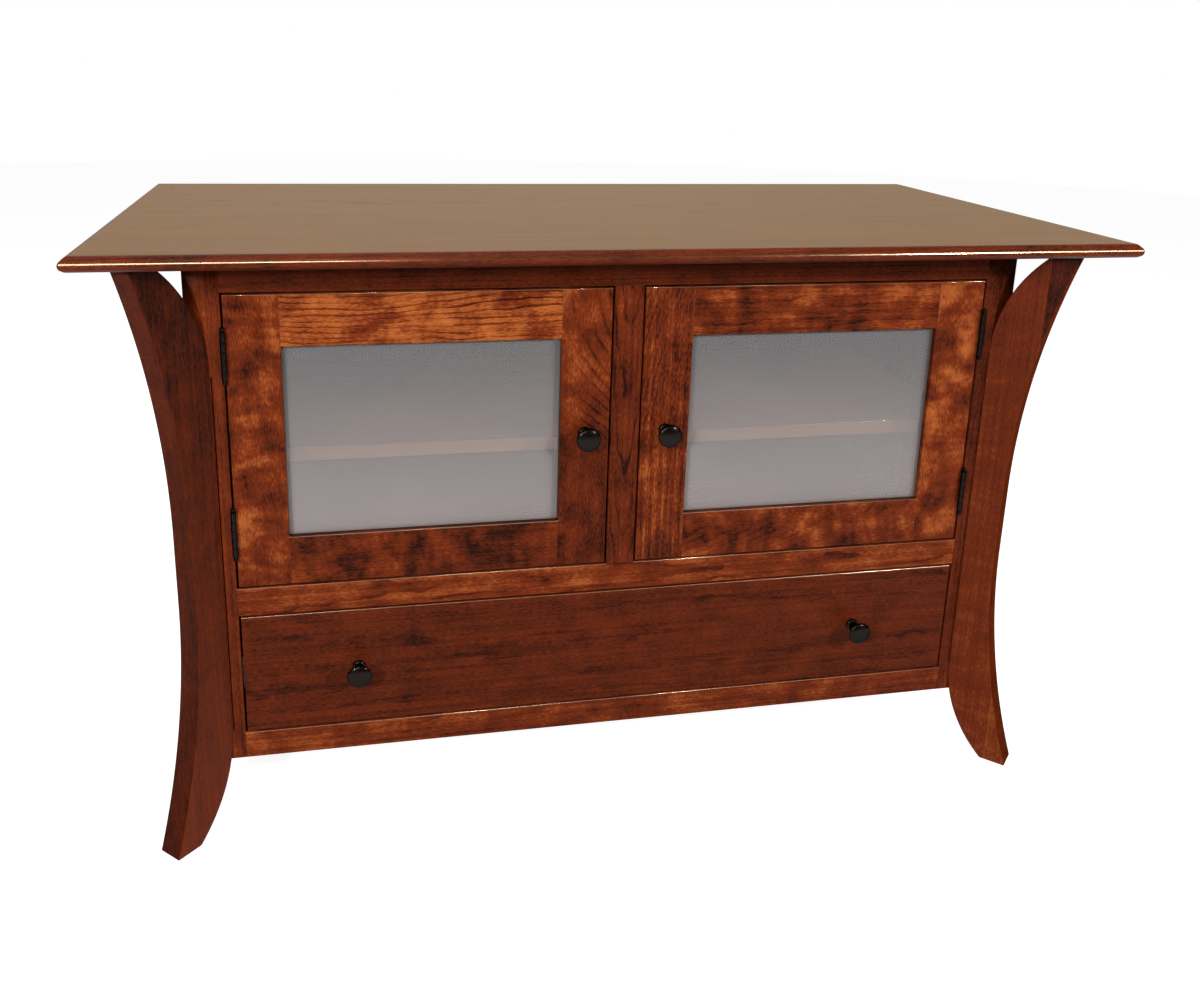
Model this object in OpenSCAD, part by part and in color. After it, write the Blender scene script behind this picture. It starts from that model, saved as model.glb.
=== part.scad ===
// Low television stand: a case on four splayed corner legs, with an overhanging top,
// two glazed doors over a full-width drawer, and a shelf behind each door.
// Millimetres, +Z up. The origin lies on the floor under the middle of the top.

/* [Overall] */
// Height of the top surface above the floor
height = 800; // [760:1:880]
// Width of the case between its outer side faces
case_w = 1096; // [960:1:1400]
// Depth of the case from the face of the frame to the back
case_d = 448; // [430:1:540]
// Height of the case bottom above the floor
floor_clearance = 97; // [80:1:130]

/* [Top] */
// Thickness of the top
top_t = 18; // [16:0.5:28]
// Overhang of the top past the case on all four sides
top_overhang = 110; // [90:1:130]
// Depth of the bevel round the upper edge of the top
top_bevel_d = 8; // [4:0.5:12]
// Height of the bevel round the upper edge of the top
top_bevel_h = 7; // [3:0.5:8]
// How far the rounded lower edge of the top turns in
top_round_d = 7; // [4:0.5:10]

/* [Legs] */
// Thickness of the board that a leg is cut from
leg_t = 36; // [30:0.5:42]
// Reach of a leg past the corner of the case at its waist
leg_waist = 22; // [20:0.5:34]
// Reach of a leg past the corner of the case under the top
leg_top_reach = 85; // [75:0.5:95]
// Reach of a leg past the corner of the case at the floor
leg_foot_reach = 80; // [70:0.5:95]
// Height at which the outer edge starts to curve down and out
leg_waist_low_z = 330; // [280:1:370]
// Height at which the outer edge starts to curve up and out
leg_waist_high_z = 425; // [390:1:460]
// Radius of the two curves on the inner edge
leg_inner_r = 190; // [180:1:260]
// Distance below the top at which the inner edge leaves the case
leg_inner_drop = 151; // [120:1:160]
// Height above the floor at which the inner edge leaves the case
leg_inner_rise = 140; // [132:1:160]

/* [Case] */
// Thickness of the side panels
side_t = 19; // [16:0.5:22]
// Thickness of the bottom and of the floor of the door bays
deck_t = 19; // [16:0.5:22]
// Thickness of the divider between the door bays
divider_t = 19; // [16:0.5:24]
// Thickness of the back panel
back_t = 6; // [5:0.5:9]
// Width of the rebate in the side panels that takes the back
back_rebate = 10; // [8:0.5:12]
// Depth of the grooves that take the bottom and the bay floor
dado = 6; // [4:0.5:8]
// Width of the two stretchers under the top
stretcher_w = 60; // [45:1:80]
// Thickness of the two stretchers under the top
stretcher_t = 19; // [16:0.5:22]
// Diameter of the cable hole in the back of each bay
cable_hole_d = 60; // [40:1:80]
// Height of the cable holes above the bay floor
cable_hole_rise = 60; // [50:1:90]

/* [Face frame] */
// Thickness of the face frame
frame_t = 19; // [18:0.5:22]
// Width of the outer stiles
stile_w = 41.5; // [38:0.5:50]
// Width of the upright between the doors
mullion_w = 39; // [36:0.5:50]
// Height of the rail under the top
top_rail_h = 47; // [40:0.5:60]
// Height of the rail between the doors and the drawer
middle_rail_h = 39; // [36:0.5:50]
// Height of the rail under the drawer
bottom_rail_h = 38; // [34:0.5:50]
// Height of the drawer opening
drawer_opening_h = 172; // [164:1:190]
// Length of the tenons of the frame and the doors
tenon_l = 12; // [8:0.5:16]
// Thickness of the tenons of the frame and the doors
tenon_t = 6; // [4:0.5:7]
// Width of the shoulder at each side of a tenon
tenon_shoulder = 7; // [5:0.5:9]

/* [Doors] */
// Gap all round the doors and the drawer front
reveal = 2.5; // [2:0.1:3]
// Width of the stiles and rails of a door
door_member_w = 66; // [56:0.5:76]
// Thickness of the glass
glass_t = 4; // [3:0.5:5]
// Width of the rebate that takes the glass
glass_rebate_w = 8; // [6:0.5:10]
// Thickness of the lip in front of the glass
glass_lip_t = 9; // [8:0.5:10]
// Clearance between the edge of the glass and its rebate
glass_clear = 0.5; // [0.2:0.1:1]
// Distance of a door knob below the middle of the door
door_knob_drop = 3; // [0:1:60]

/* [Shelves] */
// Thickness of the shelves
shelf_t = 19; // [16:0.5:22]
// Height of the underside of a shelf above the bay floor
shelf_rise = 156; // [140:1:190]
// Distance from the back of the face frame to the shelf
shelf_setback = 21; // [5:1:60]
// Gap at each end and behind a shelf
shelf_clear = 1; // [0.5:0.1:2]
// Spacing of the shelf pin holes
pin_pitch = 32; // [25:1:40]
// Diameter of the shelf pins
pin_d = 5; // [4:0.5:7]

/* [Drawer] */
// Height of the drawer box
box_h = 130; // [110:1:138]
// Height of the drawer box above the drawer opening
box_lift = 12; // [8:1:14]
// Thickness of the sides, front and back of the drawer box
box_t = 12; // [11:0.5:14]
// Thickness of the drawer bottom
box_bottom_t = 6; // [4:0.5:8]
// Room between the drawer box and the back
box_back_room = 43; // [20:1:80]
// Depth of the groove that takes the drawer bottom
box_groove = 6; // [4:0.5:7]
// Distance of a drawer knob from the end of the opening
drawer_knob_inset = 151; // [100:1:220]

/* [Hardware] */
// Length of a slide
slide_l = 374; // [340:1:380]
// Height of a slide
slide_h = 45.5; // [36:0.5:50]
// Thickness of a slide from the case to the drawer
slide_w = 12.7; // [11:0.1:14]
// Thickness of the sheet that the slides are made of
slide_sheet = 1.2; // [0.8:0.1:1.4]
// Diameter of a knob
knob_d = 32; // [26:0.5:38]
// Projection of a knob
knob_h = 33; // [26:0.5:36]
// Length of the barrel of a hinge without its tips
hinge_l = 60; // [50:1:76]
// Diameter of the barrel of a hinge
hinge_barrel_d = 7; // [6:0.2:8]
// Diameter of the pin of a hinge
hinge_pin_d = 3.5; // [2.5:0.1:4]
// Width of a leaf of a hinge where it lies on the wood
hinge_leaf_w = 14; // [12:0.5:16]
// Thickness of a leaf of a hinge
hinge_leaf_t = 1.1; // [0.8:0.05:1.15]
// Distance of the middle of a hinge from the end of the door
hinge_inset = 75; // [60:1:110]

/* [Hidden] */
$fn = 64;
large_fn = 720;

// finish colours as the photograph shows them
cherry = [0.36, 0.14, 0.07];
cherry_figured = [0.50, 0.21, 0.09];
birch = [0.80, 0.66, 0.46];
bronze = [0.10, 0.08, 0.07];
zinc = [0.68, 0.69, 0.71];
grey_glass = [0.58, 0.56, 0.57, 0.6];

// small clearance for screws in their holes and for cuts that pass through a face
hole_clear = 0.1;
cut = 1;

// main planes
side_x = case_w / 2;
side_in_x = side_x - side_t;
front_y = -case_d / 2;
back_y = case_d / 2;
frame_back_y = front_y + frame_t;
back_in_y = back_y - back_t;
case_z0 = floor_clearance;
case_z1 = height - top_t;
open_x = side_x - stile_w;
mullion_x = mullion_w / 2;
drawer_z0 = case_z0 + bottom_rail_h;
drawer_z1 = drawer_z0 + drawer_opening_h;
door_z0 = drawer_z1 + middle_rail_h;
door_z1 = case_z1 - top_rail_h;
divider_x = divider_t / 2;
stretcher_z = case_z1 - stretcher_t;
deck_z1 = case_z0 + deck_t;

// top
top_x = side_x + top_overhang;
top_y = case_d / 2 + top_overhang;
top_nose_h = 1;
top_nose_ease = 0.6;
top_round_steps = 6;

// legs
leg_top_z = case_z1;
leg_inner_top_z = leg_top_z - leg_inner_drop;
leg_blank_w = leg_t / 2 + max(leg_top_reach, leg_foot_reach);

// corner blocks and the screws through them
block_clear = 0.5;
block_w = stile_w - side_t - block_clear;
rear_block_w = block_w + frame_t - back_t;
block_h = 40;
block_low_rise = 24;
block_middle_rise = 40;
block_high_rise = 20;
block_z = [deck_z1 + block_low_rise, door_z0 + block_middle_rise, leg_inner_top_z + block_high_rise];
leg_screw_d = 4;
leg_screw_head_d = 8;
leg_screw_skin = 8;
leg_screw_head_s = (side_t + frame_t + block_w) / sqrt(2);
leg_screw_l = leg_screw_head_s + leg_waist - leg_screw_skin;

// top screws
top_screw_d = 4.2;
top_screw_skin = 6;
top_screw_l = stretcher_t + top_t - top_screw_skin;
top_screw_x = [-0.82, -0.3, 0.3, 0.82];

// small screws
small_screw_d = 3;
small_screw_head_d = 6;
small_screw_head_h = 1.6;

// back panel
back_edge_x = side_in_x + back_rebate;
back_screw_l = 20;
back_screw_in = back_rebate / 2;
back_screw_inset = 60;
back_side_screw_z = [
  case_z0 + back_screw_inset, (case_z0 + case_z1) / 2, case_z1 - back_screw_inset
];
back_row_screw_u = [-0.6, 0, 0.6];
cable_hole_x = (divider_x + side_in_x) / 2;
cable_hole_z = door_z0 + cable_hole_rise;

// doors, on the right-hand side
door_x0 = mullion_x + reveal;
door_x1 = open_x - reveal;
door_y1 = front_y + frame_t;
door_bottom_z = door_z0 + reveal;
door_top_z = door_z1 - reveal;
glass_x0 = door_x0 + door_member_w;
glass_x1 = door_x1 - door_member_w;
glass_z0 = door_bottom_z + door_member_w;
glass_z1 = door_top_z - door_member_w;
glass_y0 = front_y + glass_lip_t;
glass_y1 = glass_y0 + glass_t;
rebate_x0 = glass_x0 - glass_rebate_w;
rebate_x1 = glass_x1 + glass_rebate_w;
rebate_z0 = glass_z0 - glass_rebate_w;
rebate_z1 = glass_z1 + glass_rebate_w;
stop_gap = 0.2;
door_tenon_inset = 2;
door_knob_x = door_x0 + door_member_w / 2;
door_knob_z = (door_z0 + door_z1) / 2 - door_knob_drop;

// hinges, on the right-hand side
hinge_x = open_x - reveal / 2;
hinge_proud = hinge_barrel_d / 2 + 0.5;
hinge_y = front_y - hinge_proud;
hinge_z = [door_bottom_z + hinge_inset, door_top_z - hinge_inset];
hinge_knuckles = 5;
knuckle_pitch = hinge_l / hinge_knuckles;
knuckle_gap = 0.3;
hinge_bore_clear = 0.06;
hinge_swing_clear = 0.4;
hinge_tip_l = 7;
hinge_collar_h = 1.2;
hinge_collar_gap = 0.1;
hinge_screw_d = 2.5;
hinge_screw_head_d = 4.8;
hinge_screw_l = 12;
hinge_screw_step = hinge_l / 3;
hinge_screw_y = front_y + hinge_leaf_w / 2;

// catches, on the right-hand side
catch_w = 26;
catch_d = 20;
catch_h = 16;
catch_plate_t = 1.2;
catch_gap = 0.3;
catch_drop = 60;
catch_z = door_z1 - catch_drop;
catch_y0 = door_y1 + catch_plate_t + catch_gap;
catch_plate_inset = 2;
catch_plate_x0 = door_x0 + catch_plate_inset;
catch_plate_x1 = divider_x + catch_w;
catch_screw_inset = 5;
catch_screw_y = [catch_y0 + catch_screw_inset, catch_y0 + catch_d - catch_screw_inset];
catch_screw_bite = divider_t / 2 - 1.5;
catch_screw_l = catch_w + catch_screw_bite;

// shelves, on the right-hand side
shelf_x0 = divider_x + shelf_clear;
shelf_x1 = side_in_x - shelf_clear;
shelf_y0 = frame_back_y + shelf_setback;
shelf_y1 = back_in_y - shelf_clear;
shelf_z0 = door_z0 + shelf_rise;
pin_tab = 8;
pin_tab_h = 4;
pin_depth = 8;
pin_lap = 0.5;
pin_hole_spare = 0.5;
pin_front_inset = 40;
pin_rear_inset = 50;
pin_y = [shelf_y0 + pin_front_inset, shelf_y1 - pin_rear_inset];
pin_z = shelf_z0 - pin_tab_h / 2;
pin_rows = [-2, -1, 0, 1, 2];

// knobs
knob_foot_d = knob_d * 0.54;
knob_foot_h = 4.4;
knob_foot_ease = 1.8;
knob_neck_d = knob_d * 0.32;
knob_neck_z = knob_h * 0.45;
knob_rim_h = knob_h * 0.83;
knob_rim_t = 1.8;
knob_rim_lip = 0.5;
knob_curve_steps = 8;
knob_screw_d = 4;
knob_screw_head_d = 8;
knob_screw_head_h = 2.2;
knob_screw_bite = 12;
knob_hole_spare = 0.5;

// drawer
drawer_x1 = open_x - reveal;
drawer_front_z0 = drawer_z0 + reveal;
drawer_front_z1 = drawer_z1 - reveal;
box_x1 = open_x - slide_w;
box_y0 = frame_back_y;
box_y1 = back_in_y - box_back_room;
box_z0 = drawer_z0 + box_lift;
box_z1 = box_z0 + box_h;
box_bottom_rise = 10;
box_bottom_z = box_z0 + box_bottom_rise;
drawer_knob_x = open_x - drawer_knob_inset;
drawer_knob_z = (drawer_z0 + drawer_z1) / 2;
front_screw_x = [-0.85, -0.3, 0.3, 0.85];
front_screw_low = 40;
front_screw_high = 25;
front_screw_z = [box_z0 + front_screw_low, box_z1 - front_screw_high];
front_screw_skin = 7;
front_screw_l = box_t + frame_t - front_screw_skin;

// slides, on the right-hand side
slide_z = (box_z0 + box_z1) / 2;
slide_inset = 3;
slide_y0 = frame_back_y + slide_inset;
slide_y1 = slide_y0 + slide_l;
slide_gap = 0.3;
slide_case_x0 = box_x1 + 2 * slide_sheet;
slide_middle_x0 = box_x1 + slide_sheet + 2 * slide_gap;
slide_middle_x1 = open_x - slide_sheet - small_screw_head_h - slide_gap;
slide_drawer_x1 = slide_middle_x1 - slide_sheet - 2 * slide_gap;
slide_middle_half = slide_h / 2 - slide_sheet - slide_gap;
slide_drawer_half = slide_middle_half - slide_sheet - slide_gap;
spacer_margin = 7;
spacer_h = slide_h + 2 * spacer_margin;
slide_screw_u = [0.12, 0.5, 0.88];
slide_screw_l = 14;
slide_box_skin = 3;
slide_box_screw_l = box_t + slide_sheet - slide_box_skin;

// box between two opposite corners
module box(lo, hi) {
  translate(lo) cube(hi - lo);
}

// children on the right for 1, mirrored to the left for -1
module on_side(s) {
  if (s > 0) children();
  else mirror([1, 0, 0]) children();
}

// children at one corner of the case, drawn for the front right one
module on_corner(sx, sy) {
  if (sy < 0) on_side(sx) children();
  else mirror([0, 1, 0]) on_side(sx) children();
}

// screw driven along +Z with its countersunk head flush at the origin
module flat_screw(length, d, head_d) {
  head_h = (head_d - d) / 2;
  cylinder(h = head_h, d1 = head_d, d2 = d);
  cylinder(h = length, d = d);
}

// hole for that screw
module flat_screw_hole(length, d, head_d) {
  head_h = (head_d - d) / 2;
  wide = 2 * hole_clear;
  cylinder(h = head_h, d1 = head_d + wide, d2 = d + wide);
  translate([0, 0, -cut]) cylinder(h = cut + hole_clear, d = head_d + wide);
  cylinder(h = length + hole_clear, d = d + wide);
}

// screw driven along +Z with a round head standing on the surface
module pan_screw(length, d, head_d, head_h) {
  translate([0, 0, -head_h]) cylinder(h = head_h, d = head_d);
  cylinder(h = length, d = d);
}

// hole for that screw
module pan_screw_hole(length, d) {
  translate([0, 0, -cut]) cylinder(h = cut + length + hole_clear, d = d + 2 * hole_clear);
}

// tenon along X at the end of a rail, between two heights
module rail_tenon(x0, x1, z0, z1) {
  tenon_y = front_y + (frame_t - tenon_t) / 2;
  box([x0, tenon_y, z0 + tenon_shoulder], [x1, tenon_y + tenon_t, z1 - tenon_shoulder]);
}

// points down the edge of the top: bevel, narrow nose, then a quarter round to the underside
function top_edge(half_w, side) = concat(
  [
    [side * (half_w - top_bevel_d), height],
    [side * (half_w - top_nose_ease), height - top_bevel_h]
  ],
  [for (i = [0:top_round_steps]) let (a = 90 * i / top_round_steps) [
    side * (half_w - top_round_d * (1 - cos(a))),
    height - top_bevel_h - top_nose_h - (top_t - top_bevel_h - top_nose_h) * sin(a)
  ]]
);

function reversed(points) = [for (i = [len(points) - 1:-1:0]) points[i]];

module top_edge_section(half_w) {
  polygon(concat(top_edge(half_w, 1), reversed(top_edge(half_w, -1))));
}

module top_panel() {
  color(cherry) difference() {
    intersection() {
      rotate([90, 0, 0]) linear_extrude(2 * top_y, center = true) top_edge_section(top_x);
      rotate([90, 0, 90]) linear_extrude(2 * top_x, center = true) top_edge_section(top_y);
    }
    at_top_screws() pan_screw_hole(top_screw_l, top_screw_d);
  }
}

// places of the screws that come up through the stretchers, each at its head
module at_top_screws() {
  for (u = top_screw_x, sy = [-1, 1]) {
    middle_y = sy < 0 ? frame_back_y + stretcher_w / 2 : back_in_y - stretcher_w / 2;
    translate([u * side_in_x, middle_y, stretcher_z]) children();
  }
}

module top_screws() {
  color(zinc) at_top_screws()
    pan_screw(top_screw_l, top_screw_d, 2 * top_screw_d, small_screw_head_h);
}

// disc that hollows one half of the outer edge, above or below the waist
module leg_hollow(waist_z, end_z, reach) {
  span = abs(end_z - waist_z);
  rise = reach - leg_waist;
  hollow_r = (span * span + rise * rise) / (2 * rise);
  up = end_z > waist_z ? 1 : -1;
  intersection() {
    translate([leg_waist + hollow_r, waist_z]) circle(hollow_r, $fn = large_fn);
    translate([leg_waist, min(waist_z, end_z + up * cut)])
      square([leg_blank_w, span + cut]);
  }
}

// rounded end of the inner edge, above or below the straight part
module leg_inner_end(start_z, end_z) {
  intersection() {
    translate([leg_inner_r - leg_t / 2, start_z]) circle(leg_inner_r, $fn = large_fn);
    translate([-leg_t / 2, min(start_z, end_z)])
      square([leg_blank_w, abs(end_z - start_z)]);
  }
}

// side view of a leg: reach past the corner of the case against height
module leg_outline() {
  difference() {
    union() {
      translate([-leg_t / 2, leg_inner_rise])
        square([leg_blank_w, leg_inner_top_z - leg_inner_rise]);
      leg_inner_end(leg_inner_top_z, leg_top_z);
      leg_inner_end(leg_inner_rise, 0);
    }
    translate([leg_waist, leg_waist_low_z])
      square([leg_blank_w, leg_waist_high_z - leg_waist_low_z]);
    leg_hollow(leg_waist_high_z, leg_top_z, leg_top_reach);
    leg_hollow(leg_waist_low_z, 0, leg_foot_reach);
  }
}

// places of the leg screws at one corner, each at its head in the block
module at_leg_screws() {
  for (z = block_z)
    translate([side_x, front_y, z])
      rotate([0, 90, -45])
        translate([0, 0, -leg_screw_head_s]) children();
}

module leg_screw_holes(sx, sy) {
  on_corner(sx, sy) at_leg_screws()
    flat_screw_hole(leg_screw_l, leg_screw_d, leg_screw_head_d);
}

// leg across one corner of the case, notched to sit over that corner
module leg(sx, sy) {
  color(cherry) on_corner(sx, sy) difference() {
    translate([side_x, front_y, 0])
      rotate([0, 0, -45])
        rotate([90, 0, 0])
          linear_extrude(leg_t, center = true) leg_outline();
    box([side_x - 2 * leg_t, front_y, case_z0],
        [side_x, front_y + 2 * leg_t, case_z1 + cut]);
    at_leg_screws() flat_screw_hole(leg_screw_l, leg_screw_d, leg_screw_head_d);
  }
}

module front_left_leg() { leg(-1, -1); }
module front_right_leg() { leg(1, -1); }
module rear_left_leg() { leg(-1, 1); }
module rear_right_leg() { leg(1, 1); }

module leg_screws() {
  color(zinc) for (sx = [-1, 1], sy = [-1, 1])
    on_corner(sx, sy) at_leg_screws()
      flat_screw(leg_screw_l, leg_screw_d, leg_screw_head_d);
}

// three-cornered glue block in the right front or right rear inside corner
module corner_block(z, sy) {
  wide = sy < 0 ? block_w : rear_block_w;
  corner_y = sy < 0 ? frame_back_y : back_in_y;
  translate([side_in_x, corner_y, z - block_h / 2])
    linear_extrude(block_h) polygon([[0, 0], [-wide, 0], [0, -sy * wide]]);
}

module corner_blocks() {
  color(birch) for (sx = [-1, 1], sy = [-1, 1]) difference() {
    on_side(sx) for (z = block_z) corner_block(z, sy);
    leg_screw_holes(sx, sy);
  }
}

// places of the screws through the back panel, each at its head
module at_back_screws() {
  for (s = [-1, 1], z = back_side_screw_z)
    translate([s * (side_in_x + back_screw_in), back_y, z]) rotate([90, 0, 0]) children();
  for (u = back_row_screw_u, z = [case_z0 + deck_t / 2, case_z1 - stretcher_t / 2])
    translate([u * side_in_x, back_y, z]) rotate([90, 0, 0]) children();
}

// places of the screws of a slide, each where its head meets the case member
module at_slide_case_screws() {
  for (u = slide_screw_u)
    translate([open_x - slide_sheet, slide_y0 + u * slide_l, slide_z])
      rotate([0, 90, 0]) children();
}

// places of the screws that hold a catch to the divider
module at_catch_screws() {
  for (y = catch_screw_y)
    translate([divider_x + catch_w, y, catch_z]) rotate([0, -90, 0]) children();
}

// places of the screws of the hinges on the frame
module at_hinge_frame_screws() {
  for (z = hinge_z, k = [-1:1])
    translate([open_x - hinge_leaf_t, hinge_screw_y, z + k * hinge_screw_step])
      rotate([0, 90, 0]) children();
}

// places of the screws of the hinges on a door
module at_hinge_door_screws() {
  for (z = hinge_z, k = [-1:1])
    translate([door_x1 + hinge_leaf_t, hinge_screw_y, z + k * hinge_screw_step])
      rotate([0, -90, 0]) children();
}

module hinge_screw() {
  flat_screw(hinge_screw_l, hinge_screw_d, hinge_screw_head_d);
}

module hinge_screw_hole() {
  flat_screw_hole(hinge_screw_l, hinge_screw_d, hinge_screw_head_d);
}

module small_pan_screw(length) {
  pan_screw(length, small_screw_d, small_screw_head_d, small_screw_head_h);
}

module case_screws() {
  color(zinc) {
    at_back_screws() flat_screw(back_screw_l, small_screw_d, small_screw_head_d);
    for (s = [-1, 1]) on_side(s) {
      at_slide_case_screws() small_pan_screw(slide_screw_l);
      at_catch_screws() small_pan_screw(catch_screw_l);
      at_hinge_frame_screws() hinge_screw();
    }
  }
}

// grooves, rebate and holes of a side panel, drawn for the right one
module side_panel(s) {
  color(cherry) on_side(s) difference() {
    box([side_in_x, frame_back_y, case_z0], [side_x, back_y, case_z1]);
    box([side_in_x - cut, back_in_y, case_z0 - cut], [back_edge_x, back_y + cut, case_z1 + cut]);
    box([side_in_x - cut, frame_back_y - cut, case_z0 - cut],
        [side_in_x + dado, back_in_y, deck_z1]);
    box([side_in_x - cut, frame_back_y - cut, door_z0 - deck_t],
        [side_in_x + dado, back_in_y, door_z0]);
    shelf_pin_holes(side_in_x, 1);
    leg_screw_holes(1, -1);
    leg_screw_holes(1, 1);
    at_back_screws() flat_screw_hole(back_screw_l, small_screw_d, small_screw_head_d);
  }
}

module left_side_panel() { side_panel(-1); }
module right_side_panel() { side_panel(1); }

module back_panel() {
  color(birch) difference() {
    box([-back_edge_x, back_in_y, case_z0], [back_edge_x, back_y, case_z1]);
    for (s = [-1, 1])
      translate([s * cable_hole_x, back_in_y - cut, cable_hole_z])
        rotate([-90, 0, 0]) cylinder(h = back_t + 2 * cut, d = cable_hole_d);
    for (s = [-1, 1]) leg_screw_holes(s, 1);
    at_back_screws() flat_screw_hole(back_screw_l, small_screw_d, small_screw_head_d);
  }
}

// level panel between the grooves of the two sides
module deck(z0) {
  difference() {
    box([-side_in_x - dado, frame_back_y, z0], [side_in_x + dado, back_in_y, z0 + deck_t]);
    at_back_screws() flat_screw_hole(back_screw_l, small_screw_d, small_screw_head_d);
  }
}

module bottom_panel() {
  color(birch) deck(case_z0);
}

module bay_floor() {
  color(cherry) deck(door_z0 - deck_t);
}

module centre_divider() {
  color(cherry) difference() {
    box([-divider_x, frame_back_y, door_z0], [divider_x, back_in_y, stretcher_z]);
    for (s = [-1, 1]) on_side(s) {
      shelf_pin_holes(divider_x, -1);
      at_catch_screws() pan_screw_hole(catch_screw_l, small_screw_d);
    }
  }
}

module top_stretchers() {
  color(birch) difference() {
    union() {
      box([-side_in_x, frame_back_y, stretcher_z],
          [side_in_x, frame_back_y + stretcher_w, case_z1]);
      box([-side_in_x, back_in_y - stretcher_w, stretcher_z], [side_in_x, back_in_y, case_z1]);
    }
    at_top_screws() pan_screw_hole(top_screw_l, top_screw_d);
    at_back_screws() flat_screw_hole(back_screw_l, small_screw_d, small_screw_head_d);
  }
}

// outer stile of the face frame, drawn for the right one
module frame_stile(s) {
  color(cherry) on_side(s) difference() {
    box([open_x, front_y, case_z0], [side_x, frame_back_y, case_z1]);
    rail_tenon(open_x - cut, open_x + tenon_l, case_z0, drawer_z0);
    rail_tenon(open_x - cut, open_x + tenon_l, drawer_z1, door_z0);
    rail_tenon(open_x - cut, open_x + tenon_l, door_z1, case_z1);
    leg_screw_holes(1, -1);
    at_hinge_frame_screws() hinge_screw_hole();
  }
}

module left_frame_stile() { frame_stile(-1); }
module right_frame_stile() { frame_stile(1); }

// rail of the face frame between the two stiles
module frame_rail(z0, z1) {
  box([-open_x, front_y, z0], [open_x, frame_back_y, z1]);
  rail_tenon(-open_x - tenon_l, open_x + tenon_l, z0, z1);
}

// tenon at the end of the mullion, between two heights
module mullion_tenon(z0, z1) {
  tenon_y = front_y + (frame_t - tenon_t) / 2;
  tenon_x = mullion_x - tenon_shoulder;
  box([-tenon_x, tenon_y, z0], [tenon_x, tenon_y + tenon_t, z1]);
}

module frame_top_rail() {
  color(cherry) difference() {
    frame_rail(door_z1, case_z1);
    mullion_tenon(door_z1 - cut, door_z1 + tenon_l);
  }
}

module frame_middle_rail() {
  color(cherry) difference() {
    frame_rail(drawer_z1, door_z0);
    mullion_tenon(door_z0 - tenon_l, door_z0 + cut);
  }
}

module frame_bottom_rail() {
  color(cherry) frame_rail(case_z0, drawer_z0);
}

module frame_mullion() {
  color(cherry) union() {
    box([-mullion_x, front_y, door_z0], [mullion_x, frame_back_y, door_z1]);
    mullion_tenon(door_z0 - tenon_l, door_z1 + tenon_l);
  }
}

// two rows of shelf pin holes in an upright face; dir is the way into the wood
module shelf_pin_holes(face_x, dir) {
  for (y = pin_y, k = pin_rows)
    translate([face_x - dir * cut, y, pin_z + k * pin_pitch])
      rotate([0, dir * 90, 0])
        cylinder(h = pin_depth + cut + pin_hole_spare, d = pin_d + 2 * hole_clear);
}

// shelf pin with a flat tab under the shelf; dir is the way into the wood
module shelf_pin(face_x, dir, y) {
  translate([face_x - dir * pin_lap, y, pin_z])
    rotate([0, dir * 90, 0]) cylinder(h = pin_depth + pin_lap, d = pin_d);
  tab = [min(face_x, face_x - dir * pin_tab), y - pin_tab / 2, pin_z - pin_tab_h / 2];
  translate(tab) cube([pin_tab, pin_tab, pin_tab_h]);
}

module shelf_pins() {
  color(zinc) for (s = [-1, 1], y = pin_y) on_side(s) {
    shelf_pin(side_in_x, 1, y);
    shelf_pin(divider_x, -1, y);
  }
}

module shelf() {
  box([shelf_x0, shelf_y0, shelf_z0], [shelf_x1, shelf_y1, shelf_z0 + shelf_t]);
}

module left_shelf() {
  color(cherry) on_side(-1) shelf();
}

module right_shelf() {
  color(cherry) on_side(1) shelf();
}

module slide_spacers() {
  color(birch) for (s = [-1, 1]) on_side(s) difference() {
    box([open_x, frame_back_y, slide_z - spacer_h / 2],
        [side_in_x, slide_y1, slide_z + spacer_h / 2]);
    at_slide_case_screws() pan_screw_hole(slide_screw_l, small_screw_d);
  }
}

// one of the nested channels of a slide; x0 is the open edge, x1 the web
module slide_channel(x0, x1, half_h, open_right) {
  web_x = open_right ? x0 : x1 - slide_sheet;
  for (s = [-1, 1]) {
    z = s > 0 ? half_h - slide_sheet : -half_h;
    box([x0, slide_y0, slide_z + z], [x1, slide_y1, slide_z + z + slide_sheet]);
  }
  box([web_x, slide_y0, slide_z - half_h], [web_x + slide_sheet, slide_y1, slide_z + half_h]);
}

module slide_case_members() {
  color(zinc) for (s = [-1, 1]) on_side(s) difference() {
    slide_channel(slide_case_x0, open_x, slide_h / 2, false);
    at_slide_case_screws() pan_screw_hole(slide_screw_l, small_screw_d);
  }
}

module slide_middle_members() {
  color(zinc) for (s = [-1, 1]) on_side(s)
    slide_channel(slide_middle_x0, slide_middle_x1, slide_middle_half, false);
}

module slide_drawer_members() {
  color(zinc) for (s = [-1, 1]) on_side(s) difference() {
    slide_channel(box_x1, slide_drawer_x1, slide_drawer_half, true);
    at_slide_drawer_screws() pan_screw_hole(slide_box_screw_l, small_screw_d);
  }
}

// places of the screws from a slide into the side of the drawer
module at_slide_drawer_screws() {
  for (u = slide_screw_u)
    translate([box_x1 + slide_sheet, slide_y0 + u * slide_l, slide_z])
      rotate([0, -90, 0]) children();
}

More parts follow.
